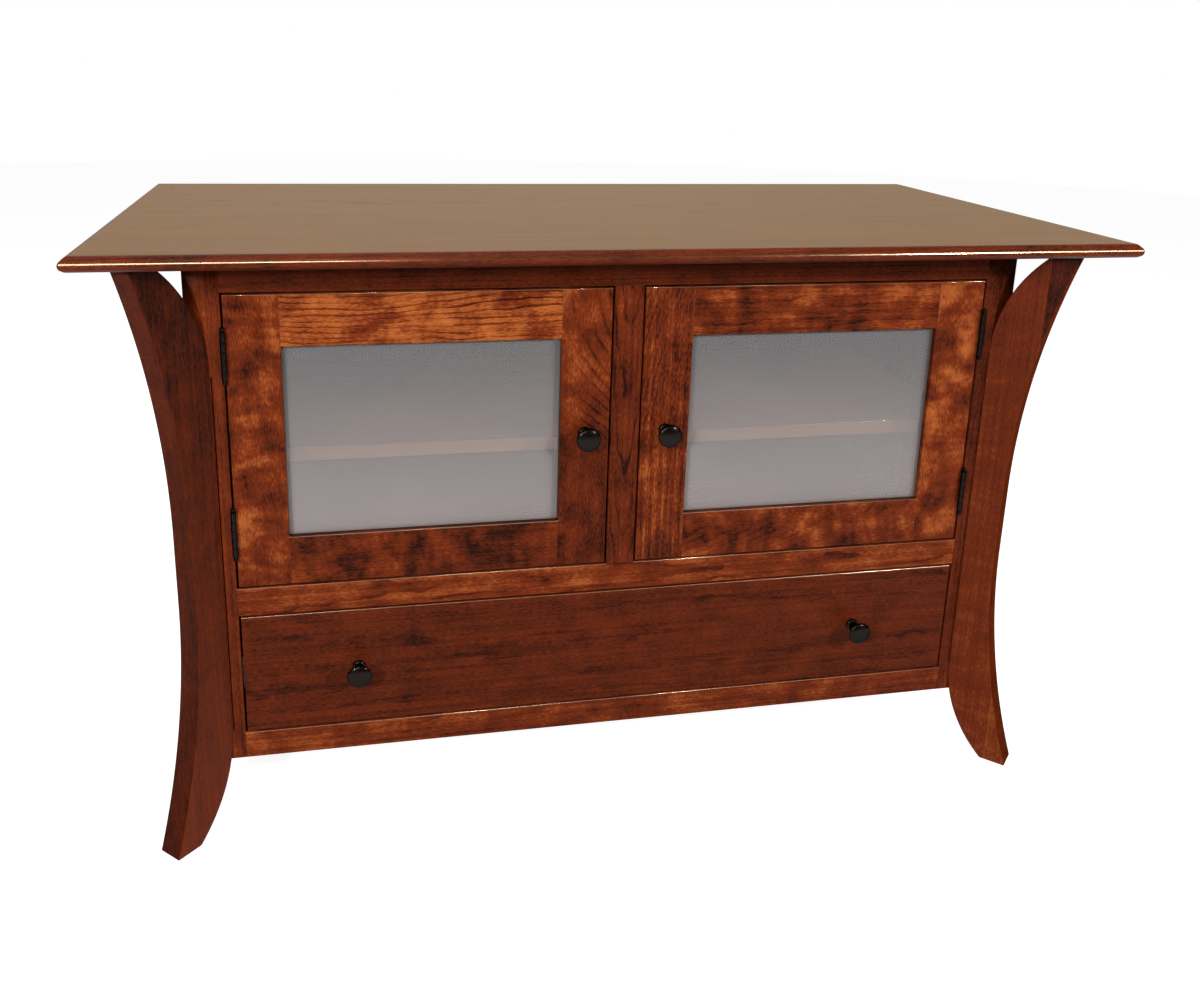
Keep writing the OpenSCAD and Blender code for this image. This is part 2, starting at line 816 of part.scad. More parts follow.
// plate and knuckles of one leaf; the knuckles from first on, every second one
module hinge_leaf(plate_x0, plate_x1, first) {
  for (z = hinge_z) translate([0, 0, z - hinge_l / 2]) difference() {
    union() {
      box([plate_x0, hinge_y + hinge_barrel_d / 2 + hinge_swing_clear, 0],
          [plate_x1, front_y + hinge_leaf_w, hinge_l]);
      for (k = [first:2:hinge_knuckles - 1]) {
        z0 = k * knuckle_pitch + knuckle_gap / 2;
        z1 = (k + 1) * knuckle_pitch - knuckle_gap / 2;
        box([plate_x0, hinge_y, z0], [plate_x1, front_y + hinge_leaf_w, z1]);
        translate([hinge_x, hinge_y, z0]) cylinder(h = z1 - z0, d = hinge_barrel_d);
      }
    }
    translate([hinge_x, hinge_y, -cut])
      cylinder(h = hinge_l + 2 * cut, d = hinge_pin_d + 2 * hinge_bore_clear);
  }
}

module hinge_frame_leaves() {
  color(bronze) for (s = [-1, 1]) on_side(s) difference() {
    hinge_leaf(open_x - hinge_leaf_t, open_x, 0);
    at_hinge_frame_screws() hinge_screw_hole();
  }
}

// leaves on a door, drawn for the right one
module door_hinge_leaves(s) {
  color(bronze) on_side(s) difference() {
    hinge_leaf(door_x1, door_x1 + hinge_leaf_t, 1);
    at_hinge_door_screws() hinge_screw_hole();
  }
}

// outline of half a pin with a ball tip, from the middle of the barrel upwards
module hinge_pin_outline() {
  ball_r = hinge_barrel_d * 0.43;
  collar_r = hinge_barrel_d * 0.46;
  neck_r = hinge_barrel_d * 0.26;
  end_z = hinge_l / 2;
  ball_z = end_z + hinge_tip_l - ball_r;
  square([hinge_pin_d / 2, end_z + hinge_collar_h]);
  translate([0, end_z + hinge_collar_gap]) square([collar_r, hinge_collar_h]);
  translate([0, end_z + hinge_collar_gap]) square([neck_r, ball_z - end_z]);
  intersection() {
    translate([0, ball_z]) circle(ball_r);
    translate([0, ball_z - ball_r]) square([ball_r, 2 * ball_r]);
  }
}

module hinge_pins() {
  color(bronze) for (s = [-1, 1], z = hinge_z) on_side(s)
    translate([hinge_x, hinge_y, z]) rotate_extrude() {
      hinge_pin_outline();
      mirror([0, 1]) hinge_pin_outline();
    }
}

// magnetic catches on the divider, one behind each door
module door_catches() {
  color(bronze) for (s = [-1, 1]) on_side(s) difference() {
    box([divider_x, catch_y0, catch_z - catch_h / 2],
        [divider_x + catch_w, catch_y0 + catch_d, catch_z + catch_h / 2]);
    at_catch_screws() pan_screw_hole(catch_screw_l, small_screw_d);
  }
}

// steel plate on a door that the catch holds, drawn for the right one
module catch_plate(s) {
  color(zinc) on_side(s) difference() {
    box([catch_plate_x0, door_y1, catch_z - catch_h / 2],
        [catch_plate_x1, door_y1 + catch_plate_t, catch_z + catch_h / 2]);
    at_catch_plate_screw() hinge_screw_hole();
  }
}

module at_catch_plate_screw() {
  translate([(catch_plate_x0 + catch_plate_x1) / 2, door_y1 + catch_plate_t, catch_z])
    rotate([90, 0, 0]) children();
}

// place of the screw of a door knob, at its head on the back of the door
module at_door_knob_screw() {
  translate([door_knob_x, door_y1, door_knob_z]) rotate([90, 0, 0]) children();
}

// rebate for the glass, cut from the back of a whole door
module glass_rebate() {
  box([rebate_x0, glass_y0, rebate_z0], [rebate_x1, door_y1 + cut, rebate_z1]);
}

// stile of a door between two widths, with the mortises for the rails on one edge
module door_stile(x0, x1, mortise_x0, mortise_x1) {
  difference() {
    box([x0, front_y, door_bottom_z], [x1, door_y1, door_top_z]);
    door_tenon(mortise_x0, mortise_x1, door_bottom_z, glass_z0);
    door_tenon(mortise_x0, mortise_x1, glass_z1, door_top_z);
    glass_rebate();
  }
}

// tenon of a door rail, clear of the rebate
module door_tenon(x0, x1, z0, z1) {
  tenon_y = front_y + (glass_lip_t - tenon_t) / 2;
  inset = glass_rebate_w + door_tenon_inset;
  box([x0, tenon_y, z0 + inset], [x1, tenon_y + tenon_t, z1 - inset]);
}

module door_rail(z0, z1) {
  difference() {
    box([glass_x0, front_y, z0], [glass_x1, door_y1, z1]);
    glass_rebate();
  }
  door_tenon(glass_x0 - tenon_l, glass_x1 + tenon_l, z0, z1);
}

module door_hinge_stile(s) {
  color(cherry_figured) on_side(s) difference() {
    door_stile(glass_x1, door_x1, glass_x1 - cut, glass_x1 + tenon_l);
    at_hinge_door_screws() hinge_screw_hole();
  }
}

module door_knob_stile(s) {
  color(cherry_figured) on_side(s) difference() {
    door_stile(door_x0, glass_x0, glass_x0 - tenon_l, glass_x0 + cut);
    at_door_knob_screw() pan_screw_hole(frame_t + cut, knob_screw_d);
    at_catch_plate_screw() hinge_screw_hole();
  }
}

module door_top_rail(s) {
  color(cherry_figured) on_side(s) door_rail(glass_z1, door_top_z);
}

module door_bottom_rail(s) {
  color(cherry_figured) on_side(s) door_rail(door_bottom_z, glass_z0);
}

module door_glass(s) {
  color(grey_glass) on_side(s)
    box([rebate_x0 + glass_clear, glass_y0, rebate_z0 + glass_clear],
        [rebate_x1 - glass_clear, glass_y1, rebate_z1 - glass_clear]);
}

// four strips behind the glass, the upright ones a hair shorter than the space between
// the level ones
module door_glass_stops(s) {
  upright_z = glass_rebate_w + stop_gap;
  color(cherry_figured) on_side(s) for (k = [0, 1]) {
    level_z = k == 0 ? rebate_z0 : rebate_z1 - glass_rebate_w;
    upright_x = k == 0 ? rebate_x0 : rebate_x1 - glass_rebate_w;
    box([rebate_x0, glass_y1, level_z], [rebate_x1, door_y1, level_z + glass_rebate_w]);
    box([upright_x, glass_y1, rebate_z0 + upright_z],
        [upright_x + glass_rebate_w, door_y1, rebate_z1 - upright_z]);
  }
}

// half section of a knob: radius against distance from the face it stands on
module knob_outline() {
  foot_r = knob_foot_d / 2;
  neck_r = knob_neck_d / 2;
  head_r = knob_d / 2;
  steps = knob_curve_steps;
  under_z = knob_rim_h - knob_rim_t;
  foot = [for (i = [0:steps]) let (a = 90 * i / steps) [
    foot_r - knob_foot_ease * (1 - cos(a)),
    knob_foot_h - knob_foot_ease * (1 - sin(a))
  ]];
  neck = [for (i = [0:steps]) let (a = 90 * i / steps) [
    neck_r + (foot_r - 2 * knob_foot_ease - neck_r) * (1 - sin(a)),
    knob_foot_h + (knob_neck_z - knob_foot_h) * (1 - cos(a))
  ]];
  under = [for (i = [1:steps]) let (a = 90 * i / steps) [
    neck_r + (head_r - knob_rim_lip - neck_r) * (1 - cos(a)),
    knob_neck_z + (under_z - knob_neck_z) * sin(a)
  ]];
  dome = [for (i = [0:steps]) let (a = 90 * i / steps) [
    head_r * cos(a),
    knob_rim_h + (knob_h - knob_rim_h) * sin(a)
  ]];
  polygon(concat([[0, 0], [foot_r, 0]], foot, neck, under, dome));
}

// knob on a front face, with the blind hole for its screw
module knob(x, z) {
  translate([x, front_y, z]) rotate([90, 0, 0]) difference() {
    rotate_extrude() knob_outline();
    translate([0, 0, -cut])
      cylinder(h = knob_screw_bite + cut + knob_hole_spare, d = knob_screw_d + 2 * hole_clear);
  }
}

// screw of a knob through wood of the given thickness, from its head
module knob_screw(wood_t) {
  pan_screw(wood_t + knob_screw_bite, knob_screw_d, knob_screw_head_d, knob_screw_head_h);
}

module door_knob(s) {
  color(bronze) on_side(s) knob(door_knob_x, door_knob_z);
}

module door_screws(s) {
  color(zinc) on_side(s) {
    at_hinge_door_screws() hinge_screw();
    at_catch_plate_screw() hinge_screw();
    at_door_knob_screw() knob_screw(frame_t);
  }
}

module left_door_hinge_stile() { door_hinge_stile(-1); }
module left_door_knob_stile() { door_knob_stile(-1); }
module left_door_top_rail() { door_top_rail(-1); }
module left_door_bottom_rail() { door_bottom_rail(-1); }
module left_door_glass() { door_glass(-1); }
module left_door_glass_stops() { door_glass_stops(-1); }
module left_door_knob() { door_knob(-1); }
module left_door_hinge_leaves() { door_hinge_leaves(-1); }
module left_door_screws() { door_screws(-1); }
module left_door_catch_plate() { catch_plate(-1); }

module right_door_hinge_stile() { door_hinge_stile(1); }
module right_door_knob_stile() { door_knob_stile(1); }
module right_door_top_rail() { door_top_rail(1); }
module right_door_bottom_rail() { door_bottom_rail(1); }
module right_door_glass() { door_glass(1); }
module right_door_glass_stops() { door_glass_stops(1); }
module right_door_knob() { door_knob(1); }
module right_door_hinge_leaves() { door_hinge_leaves(1); }
module right_door_screws() { door_screws(1); }
module right_door_catch_plate() { catch_plate(1); }

// places of the drawer knob screws, each at its head inside the box
module at_drawer_knob_screws() {
  for (s = [-1, 1])
    translate([s * drawer_knob_x, frame_back_y + box_t, drawer_knob_z])
      rotate([90, 0, 0]) children();
}

// places of the screws that hold the front to the box, each at its head
module at_front_screws() {
  for (u = front_screw_x, z = front_screw_z)
    translate([u * box_x1, frame_back_y + box_t, z]) rotate([90, 0, 0]) children();
}

module drawer_front_holes() {
  at_drawer_knob_screws() pan_screw_hole(box_t + frame_t + cut, knob_screw_d);
  at_front_screws() pan_screw_hole(front_screw_l, small_screw_d);
}

module drawer_front() {
  color(cherry_figured) difference() {
    box([-drawer_x1, front_y, drawer_front_z0], [drawer_x1, frame_back_y, drawer_front_z1]);
    drawer_front_holes();
  }
}

// thin panel that runs in the grooves of all four boards of the box
module drawer_bottom_board() {
  reach_x = box_x1 - box_t + box_groove;
  reach_y = box_t - box_groove;
  box([-reach_x, box_y0 + reach_y, box_bottom_z],
      [reach_x, box_y1 - reach_y, box_bottom_z + box_bottom_t]);
}

module drawer_side(s) {
  color(birch) on_side(s) difference() {
    box([box_x1 - box_t, box_y0, box_z0], [box_x1, box_y1, box_z1]);
    drawer_bottom_board();
    at_slide_drawer_screws() pan_screw_hole(slide_box_screw_l, small_screw_d);
  }
}

module drawer_left_side() { drawer_side(-1); }
module drawer_right_side() { drawer_side(1); }

// front or back board of the drawer box, between its sides
module drawer_box_end(y0) {
  difference() {
    box([box_t - box_x1, y0, box_z0], [box_x1 - box_t, y0 + box_t, box_z1]);
    drawer_bottom_board();
    drawer_front_holes();
  }
}

module drawer_box_front() {
  color(birch) drawer_box_end(box_y0);
}

module drawer_box_back() {
  color(birch) drawer_box_end(box_y1 - box_t);
}

module drawer_bottom() {
  color(birch) drawer_bottom_board();
}

module drawer_knobs() {
  color(bronze) for (s = [-1, 1]) on_side(s) knob(drawer_knob_x, drawer_knob_z);
}

module drawer_screws() {
  color(zinc) {
    at_drawer_knob_screws() knob_screw(box_t + frame_t);
    at_front_screws() small_pan_screw(front_screw_l);
    for (s = [-1, 1]) on_side(s) at_slide_drawer_screws() small_pan_screw(slide_box_screw_l);
  }
}

top_panel();
front_left_leg();
front_right_leg();
rear_left_leg();
rear_right_leg();
left_side_panel();
right_side_panel();
back_panel();
bottom_panel();
bay_floor();
centre_divider();
left_frame_stile();
right_frame_stile();
frame_top_rail();
frame_middle_rail();
frame_bottom_rail();
frame_mullion();
top_stretchers();
left_shelf();
right_shelf();
shelf_pins();
corner_blocks();
leg_screws();
top_screws();
case_screws();
slide_spacers();
slide_case_members();
hinge_frame_leaves();
hinge_pins();
door_catches();
left_door_hinge_stile();
left_door_knob_stile();
left_door_top_rail();
left_door_bottom_rail();
left_door_glass();
left_door_glass_stops();
left_door_knob();
left_door_hinge_leaves();
left_door_screws();
left_door_catch_plate();
right_door_hinge_stile();
right_door_knob_stile();
right_door_top_rail();
right_door_bottom_rail();
right_door_glass();
right_door_glass_stops();
right_door_knob();
right_door_hinge_leaves();
right_door_screws();
right_door_catch_plate();
drawer_front();
drawer_left_side();
drawer_right_side();
drawer_box_front();
drawer_box_back();
drawer_bottom();
drawer_knobs();
drawer_screws();
slide_drawer_members();
slide_middle_members();
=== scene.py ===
from math import cos, pi, radians, sin, sqrt, tau

import bmesh
import bpy
from mathutils import Matrix, Vector


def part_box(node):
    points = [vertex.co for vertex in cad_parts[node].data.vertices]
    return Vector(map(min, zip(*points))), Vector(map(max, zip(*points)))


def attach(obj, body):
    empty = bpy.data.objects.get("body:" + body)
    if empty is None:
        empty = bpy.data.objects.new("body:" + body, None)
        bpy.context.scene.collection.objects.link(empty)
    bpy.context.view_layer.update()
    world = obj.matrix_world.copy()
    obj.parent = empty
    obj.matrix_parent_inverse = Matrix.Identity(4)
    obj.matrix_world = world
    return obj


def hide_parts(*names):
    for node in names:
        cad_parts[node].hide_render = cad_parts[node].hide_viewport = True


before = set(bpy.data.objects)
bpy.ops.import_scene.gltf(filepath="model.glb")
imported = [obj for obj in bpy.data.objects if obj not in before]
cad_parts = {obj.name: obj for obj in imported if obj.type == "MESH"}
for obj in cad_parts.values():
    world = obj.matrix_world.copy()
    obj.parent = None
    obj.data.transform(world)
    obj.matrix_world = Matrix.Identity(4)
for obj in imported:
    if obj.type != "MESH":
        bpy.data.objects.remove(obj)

bl_info = {
    "name": "TV stand",
    "version": (1, 0, 0),
    "blender": (4, 5, 0),
    "location": "View3D > Sidebar > TV stand",
    "description": "Dresses the frame of a low cherry stand with its boards, glass and hardware",
    "category": "Object",
}

SENSOR_WIDTH = 36.0     # millimetres, as the focal length
MM = 0.001
TINY = 1e-5
SHARP = 0.5         # radians; an edge that bends more than this is an arris

# places that the frame gives
BOX = {name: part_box(name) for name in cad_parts}
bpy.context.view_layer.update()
TOP_LO, TOP_HI = BOX["top_panel"]
CASE_X = BOX["right_frame_stile"][1].x
OPEN_X = BOX["right_frame_stile"][0].x
FRONT_Y = BOX["right_frame_stile"][0].y
FRAME_BACK_Y = BOX["right_frame_stile"][1].y
CASE_Z0 = BOX["right_frame_stile"][0].z
CASE_Z1 = BOX["right_frame_stile"][1].z
MULLION_X = BOX["frame_mullion"][1].x
DRAWER_Z0 = BOX["frame_bottom_rail"][1].z
DRAWER_Z1 = BOX["frame_middle_rail"][0].z
DOOR_Z0 = BOX["frame_middle_rail"][1].z
DOOR_Z1 = BOX["frame_top_rail"][0].z
GLASS_Y0 = BOX["right_door_glass"][0].y
SIDES = (("left", -1), ("right", 1))


# ---------------------------------------------------------------- what a user may change

def length(name, description, default, **limits):
    return bpy.props.FloatProperty(
        name=name, description=description, default=default, subtype="DISTANCE",
        unit="LENGTH", precision=4, **limits)


def colour(name, description, default):
    return bpy.props.FloatVectorProperty(
        name=name, description=description, default=default, subtype="COLOR",
        size=3, min=0.0, max=1.0)


def number(name, description, default, **limits):
    return bpy.props.FloatProperty(name=name, description=description, default=default, **limits)


class StandSizes(bpy.types.PropertyGroup):
    board_ease: length("Board ease", "Rounding of the arrises of the boards", 0.9 * MM)
    leg_ease: length("Leg ease", "Rounding of the arrises of the legs", 1.6 * MM)
    top_bevel: length("Top bevel", "Depth of the bevel round the top", 8.0 * MM)
    top_bevel_drop: length("Top bevel drop", "Height of the bevel round the top", 7.0 * MM)
    top_arris: length("Top arris", "Rounding between the top and its bevel", 2.5 * MM)
    top_round: length("Top round", "How far the lower edge of the top turns in", 7.0 * MM)
    leg_thickness: length("Leg thickness", "Thickness of the board of a leg", 36.0 * MM)
    leg_core: length("Leg core", "Reach past the case of the core board, where the flares are "
                     "glued on", 48.0 * MM)
    leg_groove: length("Leg groove", "Width of the groove in the stile along a leg", 2.0 * MM)
    groove_depth: length("Groove depth", "Depth of the groove along a leg", 5.0 * MM)
    leg_waist: length("Leg waist", "Reach of a leg past the case at its waist", 26.0 * MM)
    leg_top: length("Leg top", "Reach of a leg past the case under the top", 85.0 * MM)
    leg_foot: length("Leg foot", "Reach of a leg past the case at the floor", 80.0 * MM)
    waist_low: length("Waist low", "Height where the straight waist starts", 330.0 * MM)
    waist_high: length("Waist high", "Height where the straight waist ends", 425.0 * MM)
    inner_radius: length("Inner radius", "Radius of the inner curves of a leg", 190.0 * MM)
    inner_low: length("Inner low", "Height where the inner edge leaves the case below", 140.0 * MM)
    inner_high: length("Inner high", "Height where the inner edge leaves the case above",
                       631.0 * MM)
    glass_rebate: length("Glass rebate", "Width of the rebate that holds the glass", 8.0 * MM)
    hinge_barrel: length("Hinge barrel", "Diameter of the barrel of a hinge", 7.0 * MM)
    hinge_length: length("Hinge length", "Length of a hinge without its tips", 60.0 * MM)
    hinge_leaf: length("Hinge leaf", "Thickness of a leaf of a hinge", 1.1 * MM)


class StandFinishes(bpy.types.PropertyGroup):
    cherry_light: colour("Cherry light", "Brightest stained wood", (0.44, 0.118, 0.026))
    cherry_middle: colour("Cherry middle", "Common stained wood", (0.158, 0.0245, 0.0055))
    cherry_dark: colour("Cherry dark", "Darkest stained wood", (0.018, 0.0032, 0.0015))
    top_light: colour("Top light", "Brightest wood of the top", (0.156, 0.060, 0.018))
    top_middle: colour("Top middle", "Common wood of the top", (0.104, 0.0345, 0.0095))
    top_dark: colour("Top dark", "Darkest wood of the top", (0.044, 0.012, 0.004))
    inner_light: colour("Inner light", "Brightest wood of the shelves", (0.66, 0.36, 0.17))
    inner_middle: colour("Inner middle", "Common wood of the shelves", (0.52, 0.25, 0.105))
    inner_dark: colour("Inner dark", "Darkest wood of the shelves", (0.30, 0.12, 0.045))
    maple_light: colour("Maple light", "Brightest wood of the drawer box", (0.70, 0.52, 0.33))
    maple_middle: colour("Maple middle", "Common wood of the drawer box", (0.58, 0.40, 0.23))
    maple_dark: colour("Maple dark", "Darkest wood of the drawer box", (0.38, 0.23, 0.12))
    glass: colour("Glass", "Haze of the grey glass", (0.290, 0.279, 0.281))
    glass_haze: number("Glass haze", "How much each face of the glass hides", 0.40,
                       min=0.0, max=1.0, subtype="FACTOR")
    bronze: colour("Bronze", "Dark metal of the knobs and hinges", (0.0110, 0.0075, 0.0060))
    zinc: colour("Zinc", "Metal of the slides and screws", (0.56, 0.57, 0.58))
    plastic: colour("Plastic", "Body of the catches", (0.060, 0.035, 0.022))


class StandStage(bpy.types.PropertyGroup):
    floor_radius: length("Floor radius", "Radius of the floor", 9.0)
    floor_colour: colour("Floor colour", "Colour of the floor", (0.50, 0.50, 0.50))
    backdrop_lift: number("Backdrop lift", "How much whiter the camera sees the floor", 0.91)
    lamp_power: number("Lamp power", "Power of each large front lamp in watts", 18.0)
    key_power: number("Key power", "Power of each small front lamp in watts", 25.0)
    top_lamp_power: number("Top lamp power", "Power of the overhead lamp in watts", 32.0)
    rear_lamp_power: number("Rear lamp power", "Power of the lamp behind in watts", 24.0)
    ambient: number("Ambient", "Strength of the light from all round", 0.115)
    room: number("Room", "Brightness of the dim room ahead, where gloss shows it", 0.10)
    camera_place: bpy.props.FloatVectorProperty(
        name="Camera place", description="Where the camera stands", size=3,
        default=(-0.35798, -1.56772, 1.02449), subtype="TRANSLATION", unit="LENGTH")
    camera_yaw: bpy.props.FloatProperty(
        name="Camera yaw", description="Turn of the camera to the right", unit="ROTATION",
        subtype="ANGLE", default=radians(11.88))
    camera_pitch: bpy.props.FloatProperty(
        name="Camera pitch", description="How far the camera looks down", unit="ROTATION",
        subtype="ANGLE", default=radians(15.37))
    camera_roll: bpy.props.FloatProperty(
        name="Camera roll", description="Tilt of the camera", unit="ROTATION",
        subtype="ANGLE", default=radians(-1.44))
    camera_lens: number("Camera lens", "Focal length in millimetres", 33.10)
    camera_shift_x: number("Camera shift across", "Sideways shift of the picture", 0.0239)
    camera_shift_y: number("Camera shift up", "Upward shift of the picture", -0.1221)


# ---------------------------------------------------------------- mesh work

def place(piece, body, slot, *nodes):
    """Puts a piece on its body and hides the nodes of the frame it stands for. Its slot is not
    used.
    """
    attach(piece, body)
    if nodes:
        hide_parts(*nodes)
    return piece


def to_object(name, work, materials, smooth_angle=None):
    """Turns mesh work into an object with its materials and clean shading."""
    bmesh.ops.recalc_face_normals(work, faces=work.faces)
    mesh = bpy.data.meshes.new(name)
    work.to_mesh(mesh)
    work.free()
    for material in materials if isinstance(materials, tuple) else (materials,):
        mesh.materials.append(material)
    mesh.shade_smooth()
    if smooth_angle:
        mesh.set_sharp_from_angle(angle=smooth_angle)
    piece = bpy.data.objects.new(name, mesh)
    bpy.context.scene.collection.objects.link(piece)
    return piece


def even_shading(piece):
    """Keeps the flat faces flat beside their rounded arrises."""
    modifier = piece.modifiers.new("Even shading", "WEIGHTED_NORMAL")
    modifier.keep_sharp = True
    modifier.weight = 80


def block(lo, hi):
    """Mesh work of a box between two corners."""
    work = bmesh.new()
    bmesh.ops.create_cube(work, size=1.0)
    for vert in work.verts:
        vert.co = Vector(lo[i] if vert.co[i] < 0 else hi[i] for i in range(3))
    return work


def carve(work, cutters):
    """Takes other mesh work out of this one and gives back the result."""
    solid = bpy.data.meshes.new("solid")
    work.to_mesh(solid)
    work.free()
    piece = bpy.data.objects.new("solid", solid)
    bpy.context.scene.collection.objects.link(piece)
    spare = [piece]
    for cutter in cutters:
        mesh = bpy.data.meshes.new("cutter")
        cutter.to_mesh(mesh)
        cutter.free()
        tool = bpy.data.objects.new("cutter", mesh)
        bpy.context.scene.collection.objects.link(tool)
        spare.append(tool)
        modifier = piece.modifiers.new("Carve", "BOOLEAN")
        modifier.operation = "DIFFERENCE"
        modifier.solver = "EXACT"
        modifier.object = tool
    seen = piece.evaluated_get(bpy.context.evaluated_depsgraph_get())
    carved = bmesh.new()
    carved.from_mesh(seen.to_mesh())
    seen.to_mesh_clear()
    for old in spare:
        mesh = old.data
        bpy.data.objects.remove(old)
        bpy.data.meshes.remove(mesh)
    bmesh.ops.remove_doubles(carved, verts=carved.verts, dist=TINY / 10)
    bmesh.ops.dissolve_limit(carved, angle_limit=radians(0.1), verts=carved.verts,
                             edges=carved.edges, delimit={"MATERIAL"})
    return carved


def ease_edges(work, edges, radius, steps=3):
    """Rounds edges. The new faces take the second material, the finish of the arrises."""
    bmesh.ops.bevel(work, geom=edges, offset=radius, segments=steps, profile=0.5,
                    affect="EDGES", clamp_overlap=True, material=1)


def on_line(point, line):
    """Whether a point lies on a line of None (anywhere), values and (from, to) ranges."""
    for value, wanted in zip(point, line):
        if isinstance(wanted, tuple):
            if not wanted[0] - TINY < value < wanted[1] + TINY:
                return False
        elif wanted is not None and abs(value - wanted) > TINY:
            return False
    return True


def board(name, lo, hi, material, ease, lines=None, pockets=()):
    """Board between two corners, with pockets cut out and the arrises on the lines eased."""
    work = block(lo, hi)
    if pockets:
        work = carve(work, [block(*pocket) for pocket in pockets])
    if lines is None:
        chosen = list(work.edges)
    else:
        for line in lines:
            for axis, wanted in enumerate(line):
                for value in wanted if isinstance(wanted, tuple) else ():
                    if lo[axis] + TINY < value < hi[axis] - TINY:
                        normal = Vector(float(i == axis) for i in range(3))
                        bmesh.ops.bisect_plane(
                            work, geom=work.verts[:] + work.edges[:] + work.faces[:],
                            plane_co=normal * value, plane_no=normal)
        chosen = [edge for edge in work.edges
                  if any(on_line((edge.verts[0].co + edge.verts[1].co) / 2, line)
                         for line in lines) and edge.calc_face_angle(0.0) > SHARP]
    ease_edges(work, chosen, ease)
    work.normal_update()
    # only upward-facing arrises keep the arris finish, whose lighter tone partly paints the
    # highlight where the lamps catch them
    for face in work.faces:
        if face.normal.z < 0.2:
            face.material_index = 0
    arris = material if "glass" in material.name else arris_wear_and_highlight()
    piece = to_object(name, work, (material, arris))
    even_shading(piece)
    return piece


def rounded(points, steps=5):
    """Rounds the corners of a line of (x, y, radius) points into plain (x, y) points."""
    made = [Vector(points[0][:2])]
    for before, here, after in zip(points, points[1:], points[2:]):
        corner = Vector(here[:2])
        back = Vector(before[:2]) - corner
        ahead = Vector(after[:2]) - corner
        reach = min(here[2], back.length * 0.49, ahead.length * 0.49)
        if reach < 1e-7:
            made.append(corner)
            continue
        start = corner + back.normalized() * reach
        end = corner + ahead.normalized() * reach
        for step in range(steps + 1):
            t = step / steps
            made.append(start * (1 - t) ** 2 + corner * 2 * t * (1 - t) + end * t * t)
    made.append(Vector(points[-1][:2]))
    return made


def turned(work, profile, origin, axis, steps=48):
    """Adds a turned form to mesh work: (radius, height) points spun round an axis."""
    turn = Vector((0, 0, 1)).rotation_difference(Vector(axis)).to_matrix().to_4x4()
    turn = Matrix.Translation(origin) @ turn
    rings = []
    for radius, height in profile:
        if radius < 1e-7:
            rings.append([work.verts.new(turn @ Vector((0, 0, height)))] * steps)
            continue
        rings.append([
            work.verts.new(turn @ Vector((radius * cos(tau * i / steps),
                                          radius * sin(tau * i / steps), height)))
            for i in range(steps)])
    for low, high in zip(rings, rings[1:]):
        for i in range(steps):
            corners = [low[i], low[i - 1], high[i - 1], high[i]]
            face = list(dict.fromkeys(corners))
            if len(face) > 2:
                work.faces.new(face)
    return work


# ---------------------------------------------------------------- finishes

class Nodes:
    """Adds nodes to a tree, plugs their inputs and gives back an output."""

    def __init__(self, tree):
        self.tree = tree

    def add(self, kind, plugs=(), out=0, **settings):
        node = self.tree.nodes.new("ShaderNode" + kind)
        for key, value in settings.items():
            setattr(node, key, value)
        for key, value in dict(plugs).items():
            if isinstance(value, bpy.types.NodeSocket):
                self.tree.links.new(value, node.inputs[key])
            else:
                node.inputs[key].default_value = value
        return node.outputs[out]

    def math(self, operation, *values):
        return self.add("Math", enumerate(values), operation=operation)

    def total(self, *parts):
        """Sum of values and of (value, share) pairs, each taken about its middle of one half."""
        result = parts[0]
        for value, share in parts[1:]:
            swing = self.math("MULTIPLY", self.math("SUBTRACT", value, 0.5), share)
            result = self.math("ADD", result, swing)
        return result

    def noise(self, vector, stretch, detail=2.0, roughness=0.5):
        scaled = self.add("VectorMath", {0: vector, 1: stretch}, operation="MULTIPLY")
        return self.add("TexNoise", {"Vector": scaled, "Scale": 1.0, "Detail": detail,
                                     "Roughness": roughness})

    def parts(self, vector):
        """The x, y and z of a vector."""
        node = self.tree.nodes.new("ShaderNodeSeparateXYZ")
        self.tree.links.new(vector, node.inputs[0])
        return node.outputs

    def step(self, value, low, high, start=0.0, end=1.0):
        return self.add("MapRange", {0: value, 1: low, 2: high, 3: start, 4: end},
                        interpolation_type="SMOOTHSTEP")

    def mix(self, share, first, second):
        return self.add("Mix", {0: share, 6: first, 7: second}, out=2, data_type="RGBA")


def solid_colour(values):
    return (*values, 1.0)


def darker(values, share):
    return tuple(share * value for value in values)


WHITE = (1.0, 1.0, 1.0)
SHEEN_TINT = (1.0, 0.80, 0.46)
SHEEN_ROUGHNESS = 0.4
COAT_ROUGHNESS = 0.13
BRONZE_COAT = 0.15
BRONZE_RIM = (0.1, 0.08, 0.06)
GLASS_SPECULAR = 0.25
GLASS_SHADED_TOP_SHARE = 0.84                  # share of the colour of the glass at its upper edge, darkened as painted shade under the top
GLASS_LIT_BOTTOM_SHARE = (1.60, 1.50, 1.46)    # and at its lower edge, paler and warmer as painted light

WOOD_INPUTS = (
    ("Vector", "NodeSocketVector", None),
    ("Light", "NodeSocketColor", None),
    ("Middle", "NodeSocketColor", None),
    ("Dark", "NodeSocketColor", None),
    ("Seed", "NodeSocketFloat", 0.0),
    ("Tone", "NodeSocketFloat", 0.5),
    ("Spacing", "NodeSocketFloat", 0.004),
    ("Ring", "NodeSocketFloat", 0.3),
    ("Pith", "NodeSocketFloat", 0.0),
    ("Depth", "NodeSocketFloat", 0.06),
    ("Tilt", "NodeSocketFloat", 0.03),
    ("Wander", "NodeSocketFloat", 0.01),
    ("Blotch", "NodeSocketFloat", 0.3),
    ("Smudge", "NodeSocketFloat", 0.3),
    ("Fibre", "NodeSocketFloat", 0.45),
    ("Streak", "NodeSocketFloat", 0.45),
    ("Ripple", "NodeSocketFloat", 0.1),
    ("Bow", "NodeSocketFloat", 0.0),
    ("Fade", "NodeSocketFloat", 0.0),
    ("Shade", "NodeSocketFloat", 0.0),
    ("Rough", "NodeSocketFloat", 0.38),
)


